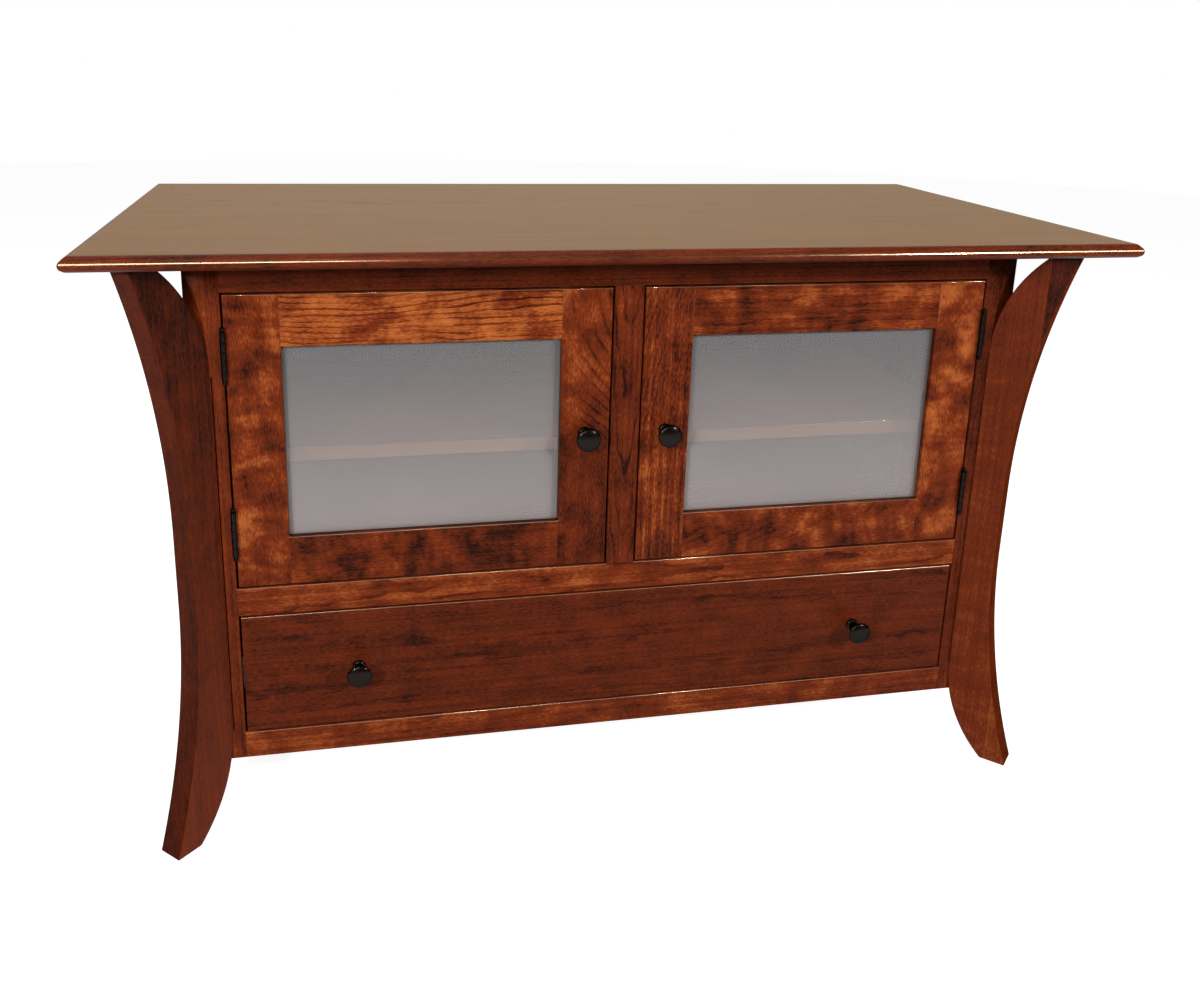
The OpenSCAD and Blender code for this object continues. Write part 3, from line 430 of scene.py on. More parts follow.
# each noise: how often it changes in a metre along, across and into a board, or along x, y
# and z in the other finishes, then its detail and its roughness
SWAY = ((3.5, 9.0, 9.0), 1.5, 0.45)
WAVER = ((22.0, 60.0, 60.0), 1.0)
FADING = ((11.0, 34.0, 34.0),)
FIBRE = ((150.0, 600.0, 600.0), 1.0)
STREAK = ((2.6, 190.0, 190.0), 2.5, 0.6)
BEND = ((9.0, 9.0, 9.0), 1.0)
CLOUD = ((24.0, 27.0, 27.0), 3.0, 0.55)
SMUDGE = ((13.0, 30.0, 30.0), 4.0, 0.62)
RIPPLE = ((65.0, 14.0, 14.0), 2.0, 0.55)
TARNISH = ((160.0, 160.0, 160.0), 4.0, 0.6)
RUBBING = ((300.0, 300.0, 300.0), 3.0, 0.6)
HAZE = ((6.0, 6.0, 9.0),)
SMEAR = ((40.0, 40.0, 25.0), 3.0, 0.6)
MOULDING = ((90.0, 90.0, 90.0), 3.0)
GRIT = ((2400.0, 2400.0, 2400.0), 1.0)

BEND_REACH = (0.05, 0.03, 0.03)     # how far the bend moves the cloud, in metres
SEED_SHIFT = (3.7, 1.9, 2.3)        # how far one unit of the seed moves the picture
RING_START, RING_END = 0.58, 0.94   # part of a ring where it is dark
RING_WAVER = 1.1
RING_FADED = (0.38, 0.66)           # span of the noise over which the rings come and go
RING_FAINTEST = 0.2
SMUDGED = (0.42, 0.80)              # span of the noise over which a smudge darkens
RUBBED = (0.55, 0.75)               # span of the noise over which metal is rubbed bright
RING_MEAN, SMUDGE_MEAN = 0.13, 0.2  # so that neither shifts the tone of a board
FIBRE_GAIN, STREAK_GAIN = 1.35, 1.25


def wood_group():
    """Grain of a stained board. Its vector runs along, across and into the board."""
    tree = bpy.data.node_groups.new("Stained wood", "ShaderNodeTree")
    for name, kind, value in WOOD_INPUTS:
        socket = tree.interface.new_socket(name=name, in_out="INPUT", socket_type=kind)
        if value is not None:
            socket.default_value = value
    for name, kind in (("Color", "NodeSocketColor"), ("Roughness", "NodeSocketFloat"),
                       ("Height", "NodeSocketFloat")):
        tree.interface.new_socket(name=name, in_out="OUTPUT", socket_type=kind)
    n = Nodes(tree)
    given = tree.nodes.new("NodeGroupInput").outputs
    here = given["Vector"]
    shift = n.add("VectorMath", {0: given["Seed"], 1: SEED_SHIFT}, operation="MULTIPLY")
    spot = n.add("VectorMath", {0: here, 1: shift}, operation="ADD")
    along, across, into = n.parts(here)

    # rings about a pith that lies beside or behind the board and leans along it
    sway = n.math("SUBTRACT", n.noise(spot, *SWAY), 0.5)
    sway = n.math("MULTIPLY", sway, given["Wander"])
    waver = n.math("SUBTRACT", n.noise(spot, *WAVER), 0.5)
    side = n.math("ADD", n.math("SUBTRACT", across, given["Pith"]), sway)
    deep = n.math("ADD", into, given["Depth"])
    reach = n.math("SQRT", n.math("ADD", n.math("MULTIPLY", side, side),
                                  n.math("MULTIPLY", deep, deep)))
    lean = n.math("MULTIPLY_ADD", along, given["Bow"], given["Tilt"])
    reach = n.math("ADD", reach, n.math("MULTIPLY", along, lean))
    turn = n.math("DIVIDE", reach, given["Spacing"])
    turn = n.math("FRACT", n.math("ADD", turn, n.math("MULTIPLY", waver, RING_WAVER)))
    ring = n.math("SUBTRACT", n.step(turn, RING_START, RING_END),
                  n.step(turn, RING_END, 1.0))
    fade = n.step(n.noise(spot, *FADING), *RING_FADED)
    ring = n.math("MULTIPLY", ring,
                  n.math("MULTIPLY_ADD", fade, 1.0 - RING_FAINTEST, RING_FAINTEST))
    kept = n.add("Clamp", {0: n.math("MULTIPLY_ADD", along, given["Fade"], 1.0)})
    ring = n.math("MULTIPLY", ring, kept)

    # fibres, streaks, the cloud of the stain, soft dark smudges, ripple across the grain
    fibre = n.noise(spot, *FIBRE)
    streak = n.noise(spot, *STREAK)
    bend = n.add("VectorMath", {0: n.noise(spot, *BEND), 1: BEND_REACH},
                 operation="MULTIPLY")
    bent = n.add("VectorMath", {0: spot, 1: bend}, operation="ADD")
    cloud = n.noise(bent, *CLOUD)
    smudge = n.step(n.noise(bent, *SMUDGE), *SMUDGED)
    ripple = n.noise(bent, *RIPPLE)
    tone = n.math("MULTIPLY_ADD", along, given["Shade"], given["Tone"])
    tone = n.total(tone, (fibre, n.math("MULTIPLY", given["Fibre"], FIBRE_GAIN)),
                   (streak, n.math("MULTIPLY", given["Streak"], STREAK_GAIN)),
                   (cloud, given["Blotch"]), (ripple, given["Ripple"]))
    for mark, mean, share in ((ring, RING_MEAN, "Ring"), (smudge, SMUDGE_MEAN, "Smudge")):
        dark = n.math("MULTIPLY", n.math("SUBTRACT", mark, mean), given[share])
        tone = n.math("SUBTRACT", tone, dark)
    made = tree.nodes.new("NodeGroupOutput").inputs
    low = n.add("Clamp", {0: n.math("MULTIPLY", tone, 2.0)})
    high = n.add("Clamp", {0: n.math("MULTIPLY_ADD", tone, 2.0, -1.0)})
    deep_half = n.mix(low, given["Dark"], given["Middle"])
    tree.links.new(n.mix(high, deep_half, given["Light"]), made["Color"])
    rough = n.total(given["Rough"], (fibre, 0.16), (cloud, 0.10))
    tree.links.new(rough, made["Roughness"])
    height = n.math("SUBTRACT", n.total(0.5, (fibre, 0.7), (streak, 0.3)),
                    n.math("MULTIPLY", ring, 0.15))
    tree.links.new(height, made["Height"])
    return tree


def principled(name):
    """New material with its shader, and the tools to add nodes to it."""
    material = bpy.data.materials.new(name)
    material.use_nodes = True
    tree = material.node_tree
    return material, Nodes(tree), tree.nodes["Principled BSDF"]


def fit(n, shader, base, rough, raised, **fixed):
    """Links what the nodes make, and sets what is the same all over on the shader itself."""
    for socket, value in (("Base Color", base), ("Roughness", rough), ("Normal", raised)):
        n.tree.links.new(value, shader.inputs[socket])
    for key, value in fixed.items():
        socket = key.replace("_", " ").title().replace("Ior", "IOR")
        shader.inputs[socket].default_value = value


def wood(name, axes, origin, kind, specular=0.05, ior=1.5, bump=0.25, shine=WHITE,
         sheen=0.0, **grain):
    """Wood of one board. axes names the ways along, across and into it, from its origin."""
    look = bpy.context.scene.stand_finishes
    material, n, shader = principled(name)
    here = n.add("TexCoord", out=3)
    here = n.add("VectorMath", {0: here, 1: origin}, operation="SUBTRACT")
    ways = dict(zip("xyz", n.parts(here)))
    turned_to_board = n.add("CombineXYZ", {i: ways[axis] for i, axis in enumerate(axes)})
    group = n.tree.nodes.new("ShaderNodeGroup")
    group.node_tree = bpy.data.node_groups.get("Stained wood") or wood_group()
    n.tree.links.new(turned_to_board, group.inputs["Vector"])
    for shade in ("light", "middle", "dark"):
        group.inputs[shade.title()].default_value = solid_colour(
            getattr(look, f"{kind}_{shade}"))
    for key, value in grain.items():
        group.inputs[key.title()].default_value = value
    raised = n.add("Bump", {"Strength": bump, "Distance": 0.0004,
                            "Height": group.outputs["Height"]})
    fit(n, shader, group.outputs["Color"], group.outputs["Roughness"], raised,
        specular_ior_level=specular, ior=ior, specular_tint=solid_colour(shine),
        sheen_weight=sheen, sheen_roughness=SHEEN_ROUGHNESS,
        sheen_tint=solid_colour(SHEEN_TINT))
    return material


def cherry(name, axes, origin, **grain):
    return wood(name, axes, origin, "cherry", **grain)


def arris_wear_and_highlight():
    """Finish of the eased edges, where the lacquer shines and the stain is rubbed thinner; its
    lighter tone is partly a painted highlight.
    """
    return bpy.data.materials.get("arris cherry") or cherry(
        "arris cherry", "xzy", (0.0, 0.0, 0.0), specular=1.0, ior=2.5, bump=0.03,
        shine=(1.0, 0.75, 0.52), seed=5.0, tone=0.44, rough=0.22, ring=0.1, blotch=0.4,
        smudge=0.1)


def metal(name, tint, roughness, brush, worn, coat=0.0, rim=WHITE):
    """Metal with cloudy tarnish, fine brushing and rubbed spots."""
    material, n, shader = principled(name)
    here = n.add("TexCoord", out=3)
    cloud = n.noise(here, *TARNISH)
    fine = n.noise(here, brush)
    rubbed = n.step(n.noise(here, *RUBBING), *RUBBED)
    base = n.mix(cloud, solid_colour(darker(tint, 0.6)), solid_colour(tint))
    base = n.mix(n.math("MULTIPLY", rubbed, 0.5), base, solid_colour(worn))
    rough = n.total(roughness, (cloud, 0.12), (fine, 0.1))
    raised = n.add("Bump", {"Strength": 0.15, "Distance": 0.0002, "Height": fine})
    fit(n, shader, base, rough, raised, metallic=1.0, specular_tint=solid_colour(rim),
        coat_weight=coat, coat_roughness=COAT_ROUGHNESS)
    return material


def glass(name, lo, hi):
    """Grey hazy glass, darker towards its upper edge and paler towards its lower edge: painted
    shade under the overhanging top.
    """
    look = bpy.context.scene.stand_finishes
    material, n, shader = principled(name)
    here = n.add("TexCoord", out=3)
    # painted shade: the glass darkens towards its upper edge, where the overhanging top shades it
    fall = n.step(n.parts(here)[2], lo.z, hi.z, 1.0, 0.0)
    haze = n.noise(here, *HAZE)
    pale = tuple(share * value for share, value in zip(GLASS_LIT_BOTTOM_SHARE, look.glass))
    base = n.mix(n.total(fall, (haze, 0.25)), solid_colour(darker(look.glass, GLASS_SHADED_TOP_SHARE)),
                 solid_colour(pale))
    smear = n.noise(here, *SMEAR)
    rough = n.total(0.16, (smear, 0.10))
    raised = n.add("Bump", {"Strength": 0.04, "Distance": 0.0004, "Height": haze})
    fit(n, shader, base, rough, raised, alpha=look.glass_haze,
        specular_ior_level=GLASS_SPECULAR)
    return material


def plastic(name, tint):
    """Dark moulded plastic with a fine grain."""
    material, n, shader = principled(name)
    here = n.add("TexCoord", out=3)
    cloud = n.noise(here, *MOULDING)
    grit = n.noise(here, *GRIT)
    base = n.mix(cloud, solid_colour(darker(tint, 0.75)), solid_colour(tint))
    raised = n.add("Bump", {"Strength": 0.2, "Distance": 0.0001, "Height": grit})
    rough = n.total(0.45, (grit, 0.15))
    fit(n, shader, base, rough, raised)
    return material


def finish_node(node, material):
    """Gives a node of the frame that stays in sight its real finish."""
    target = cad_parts[node]
    if not target.material_slots:
        target.data.materials.append(material)
    for slot in target.material_slots:
        slot.material = material


def middle(lo, hi):
    """Middle of the front face of a board, where its grain is measured from."""
    return Vector(((lo.x + hi.x) / 2, lo.y, (lo.z + hi.z) / 2))


# ---------------------------------------------------------------- operators

class BuildOperator:
    """What the operators share."""
    bl_options = {"REGISTER", "UNDO"}

    def execute(self, context):
        self.build(context.scene.stand_sizes, context.scene.stand_finishes)
        return {"FINISHED"}


class TVSTAND_OT_top(BuildOperator, bpy.types.Operator):
    """Builds the overhanging top with its bevel, nose and rounded underside"""
    bl_idname = "tvstand.top"
    bl_label = "Top"

    def build(self, size, look):
        margin = 8.0 * MM           # of the flat faces that the turned-in edge takes in
        drop = TOP_HI.z - size.top_bevel_drop
        low = drop - 1.0 * MM
        fall = low - TOP_LO.z
        profile = rounded([
            (size.top_bevel + margin, TOP_HI.z, 0.0),
            (size.top_bevel, TOP_HI.z, size.top_arris),
            (1.3 * MM, drop + 0.8 * MM, 1.2 * MM),
            (0.0, low - 1.4 * MM, 1.6 * MM),
            (0.9 * MM, low - 0.55 * fall, 2.4 * MM),
            (size.top_round, TOP_LO.z, 2.4 * MM),
            (size.top_round + margin, TOP_LO.z, 0.0),
        ], 5)
        work = bmesh.new()
        corner = 3.0 * MM           # radius of the corners seen from above
        steps = 6
        rings = []
        for inset, z in profile:
            radius = max(corner - inset, 0.2 * MM)
            reach_x = TOP_HI.x - inset - radius
            reach_y = TOP_HI.y - inset - radius
            ring = []
            for quarter, (sx, sy) in enumerate(((1, 1), (-1, 1), (-1, -1), (1, -1))):
                for step in range(steps + 1):
                    a = pi / 2 * (quarter + step / steps)
                    ring.append(work.verts.new((sx * reach_x + radius * cos(a),
                                                sy * reach_y + radius * sin(a), z)))
            rings.append(ring)
        for level, (high, below) in enumerate(zip(rings, rings[1:])):
            for i in range(len(high)):
                face = work.faces.new((high[i], high[i - 1], below[i - 1], below[i]))
                lean = (high[0].co - below[0].co).normalized().z
                upright = lean > 0.75 and high[0].co.z > low - MM
                face.material_index = 2 if upright else 1
                if not level:
                    face.material_index = 0
        work.faces.new(rings[0])
        work.faces.new(rings[-1]).material_index = 1
        origin = (0.0, 0.0, TOP_HI.z)
        surface = wood("top cherry", "xyz", origin, "top", sheen=0.16, specular=0.022,
                       rough=0.50, bump=0.12, seed=3.1, tone=0.62, spacing=0.011,
                       ring=0.42, pith=0.09, depth=0.10, tilt=0.012, wander=0.035,
                       blotch=0.35, smudge=0.10, streak=0.80, fibre=0.70, ripple=0.05)
        edge = dict(bump=0.006, seed=4.2, spacing=0.006, ring=0.2, pith=0.03, depth=0.02,
                    tilt=0.02, wander=0.02, blotch=0.3, smudge=0.2)
        side = cherry("top edge cherry", "xzy", origin, tone=0.26, specular=0.07, **edge)
        nose = cherry("top nose cherry", "xzy", origin, tone=0.28, specular=1.0, ior=2.0,
                      shine=(1.0, 0.68, 0.42), rough=0.17, **edge)
        piece = to_object("tabletop", work, (surface, side, nose))
        even_shading(piece)
        place(piece, "cabinet", "cherry_top", "top_panel")


class TVSTAND_OT_legs(BuildOperator, bpy.types.Operator):
    """Builds the four splayed legs that stand across the corners of the case"""
    bl_idname = "tvstand.legs"
    bl_label = "Legs"

    # wood of the left and of the right legs
    FACES = {
        -1: dict(tone=0.235, ring=0.05, spacing=0.009, pith=0.05, blotch=0.30, smudge=0.04,
                 streak=0.25, fibre=0.28, ripple=0.12, shade=-0.42),
        1: dict(tone=0.44, ring=0.08, spacing=0.008, pith=0.07, blotch=0.24, smudge=0.04,
                streak=0.30, fibre=0.35, ripple=0.35, shade=-0.14),
    }
    EDGES = {-1: dict(specular=0.015, shade=0.10), 1: dict(specular=0.0, shade=0.0)}
    FLARES = {-1: (("upper", 0.92), ("lower", 1.2)), 1: (("upper", 0.36), ("lower", 1.2))}

    def outline(self, size):
        """(reach past the corner, height) points round the side view of a leg."""
        top = CASE_Z1

        def outer(z, waist_z, end_z, reach):
            rise = reach - size.leg_waist
            span = abs(end_z - waist_z)
            radius = (span * span + rise * rise) / (2 * rise)
            return size.leg_waist + radius - sqrt(radius ** 2 - (z - waist_z) ** 2)

        def inner(z, start_z):
            radius = size.inner_radius
            return radius - size.leg_thickness / 2 - sqrt(radius ** 2 - (z - start_z) ** 2)

        def heights(start, end, steps):
            return [start + (end - start) * i / steps for i in range(steps + 1)]

        points = [(outer(z, size.waist_low, 0.0, size.leg_foot), z)
                  for z in heights(0.0, size.waist_low, 30)]
        points += [(outer(z, size.waist_high, top, size.leg_top), z)
                   for z in heights(size.waist_high, top, 30)]
        points += [(inner(z, size.inner_high), z) for z in heights(top, size.inner_high, 24)]
        points += [(inner(z, size.inner_low), z) for z in heights(size.inner_low, 0.0, 24)]
        return points

    def blank(self, size, half):
        """Leg before it is notched. Its faces, edges and flares know their finishes."""
        work = bmesh.new()
        near, far = ([work.verts.new((s, t, z)) for s, z in self.outline(size)]
                     for t in (-half, half))
        work.faces.new(near)
        work.faces.new(far[::-1])
        for i in range(len(near)):
            work.faces.new((near[i], near[i - 1], far[i - 1], far[i]))
        bmesh.ops.recalc_face_normals(work, faces=work.faces)
        chosen = [edge for edge in work.edges
                  if edge.calc_face_angle(0.0) > SHARP
                  and (edge.verts[0].co.x + edge.verts[1].co.x) / 2 > -half + TINY
                  and (edge.verts[0].co.z + edge.verts[1].co.z) / 2 < CASE_Z1 - TINY]
        ease_edges(work, chosen, size.leg_ease, 4)
        bmesh.ops.bisect_plane(
            work, geom=work.verts[:] + work.edges[:] + work.faces[:],
            plane_co=(size.leg_core, 0, 0), plane_no=(1, 0, 0))
        work.normal_update()
        for face in work.faces:
            centre = face.calc_center_median()
            if abs(face.normal.y) < 0.6:
                face.material_index = 1
            elif centre.x < size.leg_core:
                face.material_index = 0
            else:
                face.material_index = 2 if centre.z > size.waist_high else 3
        return work

    def notch(self, half):
        """What the corner of the case takes out of a leg."""
        reach = 3 * half
        work = bmesh.new()
        low, high = ([work.verts.new((s, t, z)) for s, t in
                      ((0, 0), (-reach, reach), (-2 * reach, 0), (-reach, -reach))]
                     for z in (CASE_Z0, CASE_Z1 + half))
        work.faces.new(low[::-1])
        work.faces.new(high)
        for i in range(4):
            work.faces.new((low[i - 1], low[i], high[i], high[i - 1]))
        return work

    def finishes(self, corner, side, seed, half):
        """Wood of the faces, of the edges, and of the flares glued on above and below."""
        grain = dict(self.FACES[side], seed=seed, depth=0.05, tilt=0.01, wander=0.02)
        origin = (0.0, -half, CASE_Z1 / 2)
        face = cherry(f"{corner} leg cherry", "zxy", origin, specular=0.06, bump=0.12,
                      **grain)
        tone = grain.pop("tone")
        edge = cherry(f"{corner} leg edge cherry", "zyx", origin, bump=0.10,
                      **dict(grain, tone=0.80 * tone, **self.EDGES[side]))
        grain["seed"] += 0.7
        flares = [cherry(f"{corner} {level} flare cherry", "zxy", origin, specular=0.06,
                         bump=0.12, tone=share * tone, **grain)
                  for level, share in self.FLARES[side]]
        return (face, edge, *flares)

    def build(self, size, look):
        half = size.leg_thickness / 2
        corners = (("rear_left", -1, 1), ("rear_right", 1, 1),
                   ("front_left", -1, -1), ("front_right", 1, -1))
        for row, (corner, sx, sy) in enumerate(corners):
            work = carve(self.blank(size, half), [self.notch(half)])
            woods = self.finishes(corner, sx, 11.0 + 2.3 * row, half)
            piece = to_object(f"{corner}_splayed_leg", work, woods)
            even_shading(piece)
            # the leg's own x runs out along the diagonal of its corner
            outward = Vector((sx, sy, 0)).normalized()
            turn = Matrix((outward, Vector((-outward.y, outward.x, 0)),
                           Vector((0, 0, 1)))).transposed().to_4x4()
            y = FRONT_Y if sy < 0 else -FRONT_Y
            piece.matrix_world = Matrix.Translation((sx * CASE_X, y, 0)) @ turn
            place(piece, "cabinet", "cherry_leg", f"{corner}_leg")


class TVSTAND_OT_face_frame(BuildOperator, bpy.types.Operator):
    """Builds the stiles, rails and mullion round the doors and the drawer"""
    bl_idname = "tvstand.face_frame"
    bl_label = "Face frame"

    def build(self, size, look):
        ease = size.board_ease
        doors, drawer = (DOOR_Z0, DOOR_Z1), (DRAWER_Z0, DRAWER_Z1)
        for side, s in SIDES:
            node = f"{side}_frame_stile"
            lo, hi = BOX[node]
            # the right stile's low tone and its darkening towards its top are painted shade from
            # the overhanging top and the right leg
            tone, shade = (0.33, 0.0) if s < 0 else (0.18, -0.35)
            material = cherry(f"{side} frame stile cherry", "zxy", middle(lo, hi),
                              seed=21.0 + s, tone=tone, shade=shade, ring=0.14,
                              spacing=0.006, pith=0.045 * s, tilt=0.01, blotch=0.6,
                              smudge=0.15)
            # the groove beside the leg, whose broad face crosses the corner at 45 degrees
            leg_x = CASE_X - size.leg_thickness / sqrt(2)
            groove_x = sorted((s * leg_x, s * (leg_x - size.leg_groove)))
            groove = ((groove_x[0], FRONT_Y - MM, size.inner_low),
                      (groove_x[1], FRONT_Y + size.groove_depth, size.inner_high))
            piece = board(f"{side}_stile", lo, hi, material, ease,
                          [(s * OPEN_X, FRONT_Y, doors), (s * OPEN_X, FRONT_Y, drawer),
                           (None, FRONT_Y, CASE_Z0)], pockets=(groove,))
            place(piece, "cabinet", "cherry_case", node)
        bays = ((-OPEN_X, -MULLION_X), (MULLION_X, OPEN_X))
        rails = (
            # the top rail's low tone is partly its wood and partly painted shade under the
            # overhanging top
            ("frame_top_rail", "top_rail", [(bay, FRONT_Y, DOOR_Z1) for bay in bays],
             dict(seed=24.0, tone=0.25, ring=0.10, spacing=0.006, pith=0.06, tilt=0.004,
                  blotch=0.35, smudge=0.10)),
            ("frame_middle_rail", "middle_rail",
             [(bay, FRONT_Y, DOOR_Z0) for bay in bays] + [(None, FRONT_Y, DRAWER_Z1)],
             dict(seed=27.5, tone=0.44, ring=0.36, spacing=0.007, pith=0.004, depth=0.03,
                  tilt=0.035, wander=0.016, blotch=0.75, smudge=0.25)),
            ("frame_bottom_rail", "bottom_rail",
             [(None, FRONT_Y, DRAWER_Z0), (None, FRONT_Y, CASE_Z0)],
             dict(seed=29.2, tone=0.42, ring=0.16, spacing=0.006, pith=0.02, depth=0.03,
                  tilt=0.03, wander=0.016, blotch=0.95, smudge=0.25)),
        )
        for node, name, lines, grain in rails:
            lo, hi = (corner.copy() for corner in BOX[node])
            lo.x, hi.x = -OPEN_X, OPEN_X
            material = cherry(f"{name} cherry", "xzy", middle(lo, hi), **grain)
            place(board(name, lo, hi, material, ease, lines), "cabinet", "cherry_case", node)
        lo, hi = (corner.copy() for corner in BOX["frame_mullion"])
        lo.z, hi.z = doors
        material = cherry("mullion cherry", "zxy", middle(lo, hi), seed=31.7, tone=0.27,
                          ring=0.34, spacing=0.009, pith=0.002, depth=0.012, tilt=-0.10,
                          wander=0.01, blotch=0.6, smudge=0.15)
        piece = board("mullion", lo, hi, material, ease,
                      [(x, FRONT_Y, None) for x in (-MULLION_X, MULLION_X)])
        place(piece, "cabinet", "cherry_case", "frame_mullion")


class TVSTAND_OT_case(BuildOperator, bpy.types.Operator):
    """Builds the side panels and finishes the boards inside and behind the case"""
    bl_idname = "tvstand.case"
    bl_label = "Case boards"

    def build(self, size, look):
        for side, s in SIDES:
            node = f"{side}_side_panel"
            lo, hi = BOX[node]
            origin = Vector((s * CASE_X, 0.0, (lo.z + hi.z) / 2))
            material = cherry(f"{side} side cherry", "zyx", origin, seed=41.0 + 3 * s,
                              tone=0.32, ring=0.2, spacing=0.012, pith=0.03,
                              depth=-0.09 * s, tilt=0.02, wander=0.03, blotch=0.3,
                              smudge=0.18)
            piece = board(f"{side}_side", lo, hi, material, size.board_ease,
                          [(None, None, lo.z)],
                          [BOX["bottom_panel"], BOX["bay_floor"], BOX["back_panel"]])
            place(piece, "cabinet", "cherry_case", node)
        inner = (
            ("bottom_panel", "xyz", 43.0), ("bay_floor", "xyz", 45.5),
            ("centre_divider", "zyx", 47.1), ("top_stretchers", "xyz", 49.9),
            ("corner_blocks", "zxy", 52.4),
        )
        for node, axes, seed in inner:
            finish_node(node, cherry(f"{node} cherry", axes, middle(*BOX[node]), seed=seed,
                                     tone=0.42, ring=0.2, spacing=0.010, pith=0.03,
                                     depth=0.08, wander=0.03, blotch=0.25, smudge=0.15))
        finish_node("back_panel",
                    cherry("back ply cherry", "zxy", middle(*BOX["back_panel"]), seed=55.0,
                           tone=0.40, ring=0.20, spacing=0.016, pith=0.12, depth=0.14,
                           tilt=0.03, wander=0.06, blotch=0.28, smudge=0.08, bump=0.18))
        finish_node("slide_spacers",
                    wood("spacer maple", "yzx", middle(*BOX["slide_spacers"]), "maple",
                         specular=0.3, seed=57.0, tone=0.5, ring=0.2, smudge=0.05))


class TVSTAND_OT_shelves(BuildOperator, bpy.types.Operator):
    """Builds the shelf of each bay and finishes its pins"""
    bl_idname = "tvstand.shelves"
    bl_label = "Shelves"

    def build(self, size, look):
        for side, s in SIDES:
            node = f"{side}_shelf"
            lo, hi = BOX[node]
            material = wood(f"{side} shelf cherry", "xyz", middle(lo, hi), "inner",
                            seed=61.0 + s, tone=0.5, ring=0.16, spacing=0.012,
                            pith=0.05, depth=0.09, wander=0.03, blotch=0.2, smudge=0.1)
            piece = board(f"{side}_bay_shelf", lo, hi, material, size.board_ease)
            place(piece, "cabinet", "cherry_case", node)
        finish_node("shelf_pins", metal("pin zinc", look.zinc, 0.34, (900.0, 90.0, 900.0),
                                        (0.7, 0.7, 0.7)))


class TVSTAND_OT_doors(BuildOperator, bpy.types.Operator):
    """Builds the stiles and rails of the two doors, rebated for their glass"""
    bl_idname = "tvstand.doors"
    bl_label = "Doors"

    GRAIN = {
        "left_door_hinge_stile": dict(
            seed=71.3, tone=0.41, ring=0.10, spacing=0.008, pith=-0.05, tilt=0.10,
            wander=0.03, blotch=1.45, smudge=0.15, ripple=0.70, streak=0.15, fibre=0.50),
        "left_door_top_rail": dict(
            seed=73.9, tone=0.61, ring=0.60, spacing=0.0075, pith=0.10, depth=0.02,
            tilt=0.012, wander=0.050, blotch=1.50, smudge=0.10, ripple=0.15, streak=0.40,
            fibre=0.60),
        "left_door_knob_stile": dict(
            seed=75.2, tone=0.275, ring=0.36, spacing=0.0160, pith=-0.075, depth=0.03,
            tilt=1.3, bow=-3.2, wander=0.020, fade=25.0, shade=1.05, blotch=1.20,
            smudge=0.15, streak=0.20, fibre=0.50),
        "left_door_bottom_rail": dict(
            seed=77.7, tone=0.25, ring=0.10, spacing=0.006, pith=0.05, tilt=0.02,
            wander=0.03, blotch=1.20, smudge=0.15, ripple=0.60, streak=0.20, fibre=0.50),
        "right_door_hinge_stile": dict(
            seed=81.4, tone=0.50, ring=0.05, spacing=0.007, pith=0.06, tilt=-0.5,
            wander=0.03, blotch=1.60, smudge=0.20, ripple=0.60, streak=0.12, fibre=0.45),
        "right_door_top_rail": dict(
            seed=83.8, tone=0.39, ring=0.25, spacing=0.008, pith=0.05, tilt=0.01,
            wander=0.035, blotch=1.30, smudge=0.35, ripple=0.35, streak=0.55, fibre=0.50),
        "right_door_knob_stile": dict(
            seed=85.5, tone=0.37, ring=0.26, spacing=0.0065, pith=-0.06, depth=0.02,
            tilt=-0.12, bow=-0.5, wander=0.012, blotch=1.00, smudge=0.20, ripple=0.25,
            streak=0.80, fibre=0.70),
        "right_door_bottom_rail": dict(
            seed=87.1, tone=0.37, ring=0.18, spacing=0.008, pith=0.03, depth=0.03,
            tilt=0.3, wander=0.03, blotch=1.45, smudge=0.20, ripple=0.65, streak=0.20,
            fibre=0.45),
    }

    def build(self, size, look):
        ease = size.board_ease
        for side, s in SIDES:
            body = f"{side}_door"
            stiles = [BOX[f"{body}_{kind}_stile"] for kind in ("hinge", "knob")]
            left, right = sorted(stiles, key=lambda corners: corners[0].x)
            x0, x1 = left[1].x, right[0].x
            z0, z1 = BOX[f"{body}_bottom_rail"][1].z, BOX[f"{body}_top_rail"][0].z
            width = size.glass_rebate
            rebate = (Vector((x0 - width, GLASS_Y0, z0 - width)),
                      Vector((x1 + width, 0.0, z1 + width)))
            for kind in ("hinge_stile", "knob_stile", "top_rail", "bottom_rail"):
                node = f"{body}_{kind}"
                lo, hi = (corner.copy() for corner in BOX[node])
                outer_z = hi.z if kind == "top_rail" else lo.z
                inner_z = lo.z if kind == "top_rail" else hi.z
                if "rail" in kind:
                    lo.x, hi.x = x0, x1
                    axes = "xzy"
                    lines = [(None, FRONT_Y, outer_z), (None, FRAME_BACK_Y, outer_z),
                             ((x0, x1), FRONT_Y, inner_z)]
                else:
                    axes = "zxy"
                    outer, inner = (lo.x, x0) if lo.x < x0 - TINY else (hi.x, x1)
                    lines = [(outer, y, None) for y in (FRONT_Y, FRAME_BACK_Y)]
                    lines += [(None, y, z) for y in (FRONT_Y, FRAME_BACK_Y)
                              for z in (lo.z, hi.z)]
                    lines += [(inner, FRONT_Y, (z0, z1)), (outer, None, lo.z),
                              (outer, None, hi.z)]
                material = cherry(f"{node} cherry".replace("_", " "), axes, middle(lo, hi),
                                  **self.GRAIN[node])
                piece = board(f"{node}_board", lo, hi, material, ease, lines, [rebate])
                place(piece, body, "cherry_front", node)
            stops = f"{body}_glass_stops"
            finish_node(stops, cherry(f"{side} stop cherry", "xzy", middle(*BOX[stops]),
                                      seed=91.0 + s, tone=0.5, ring=0.2))


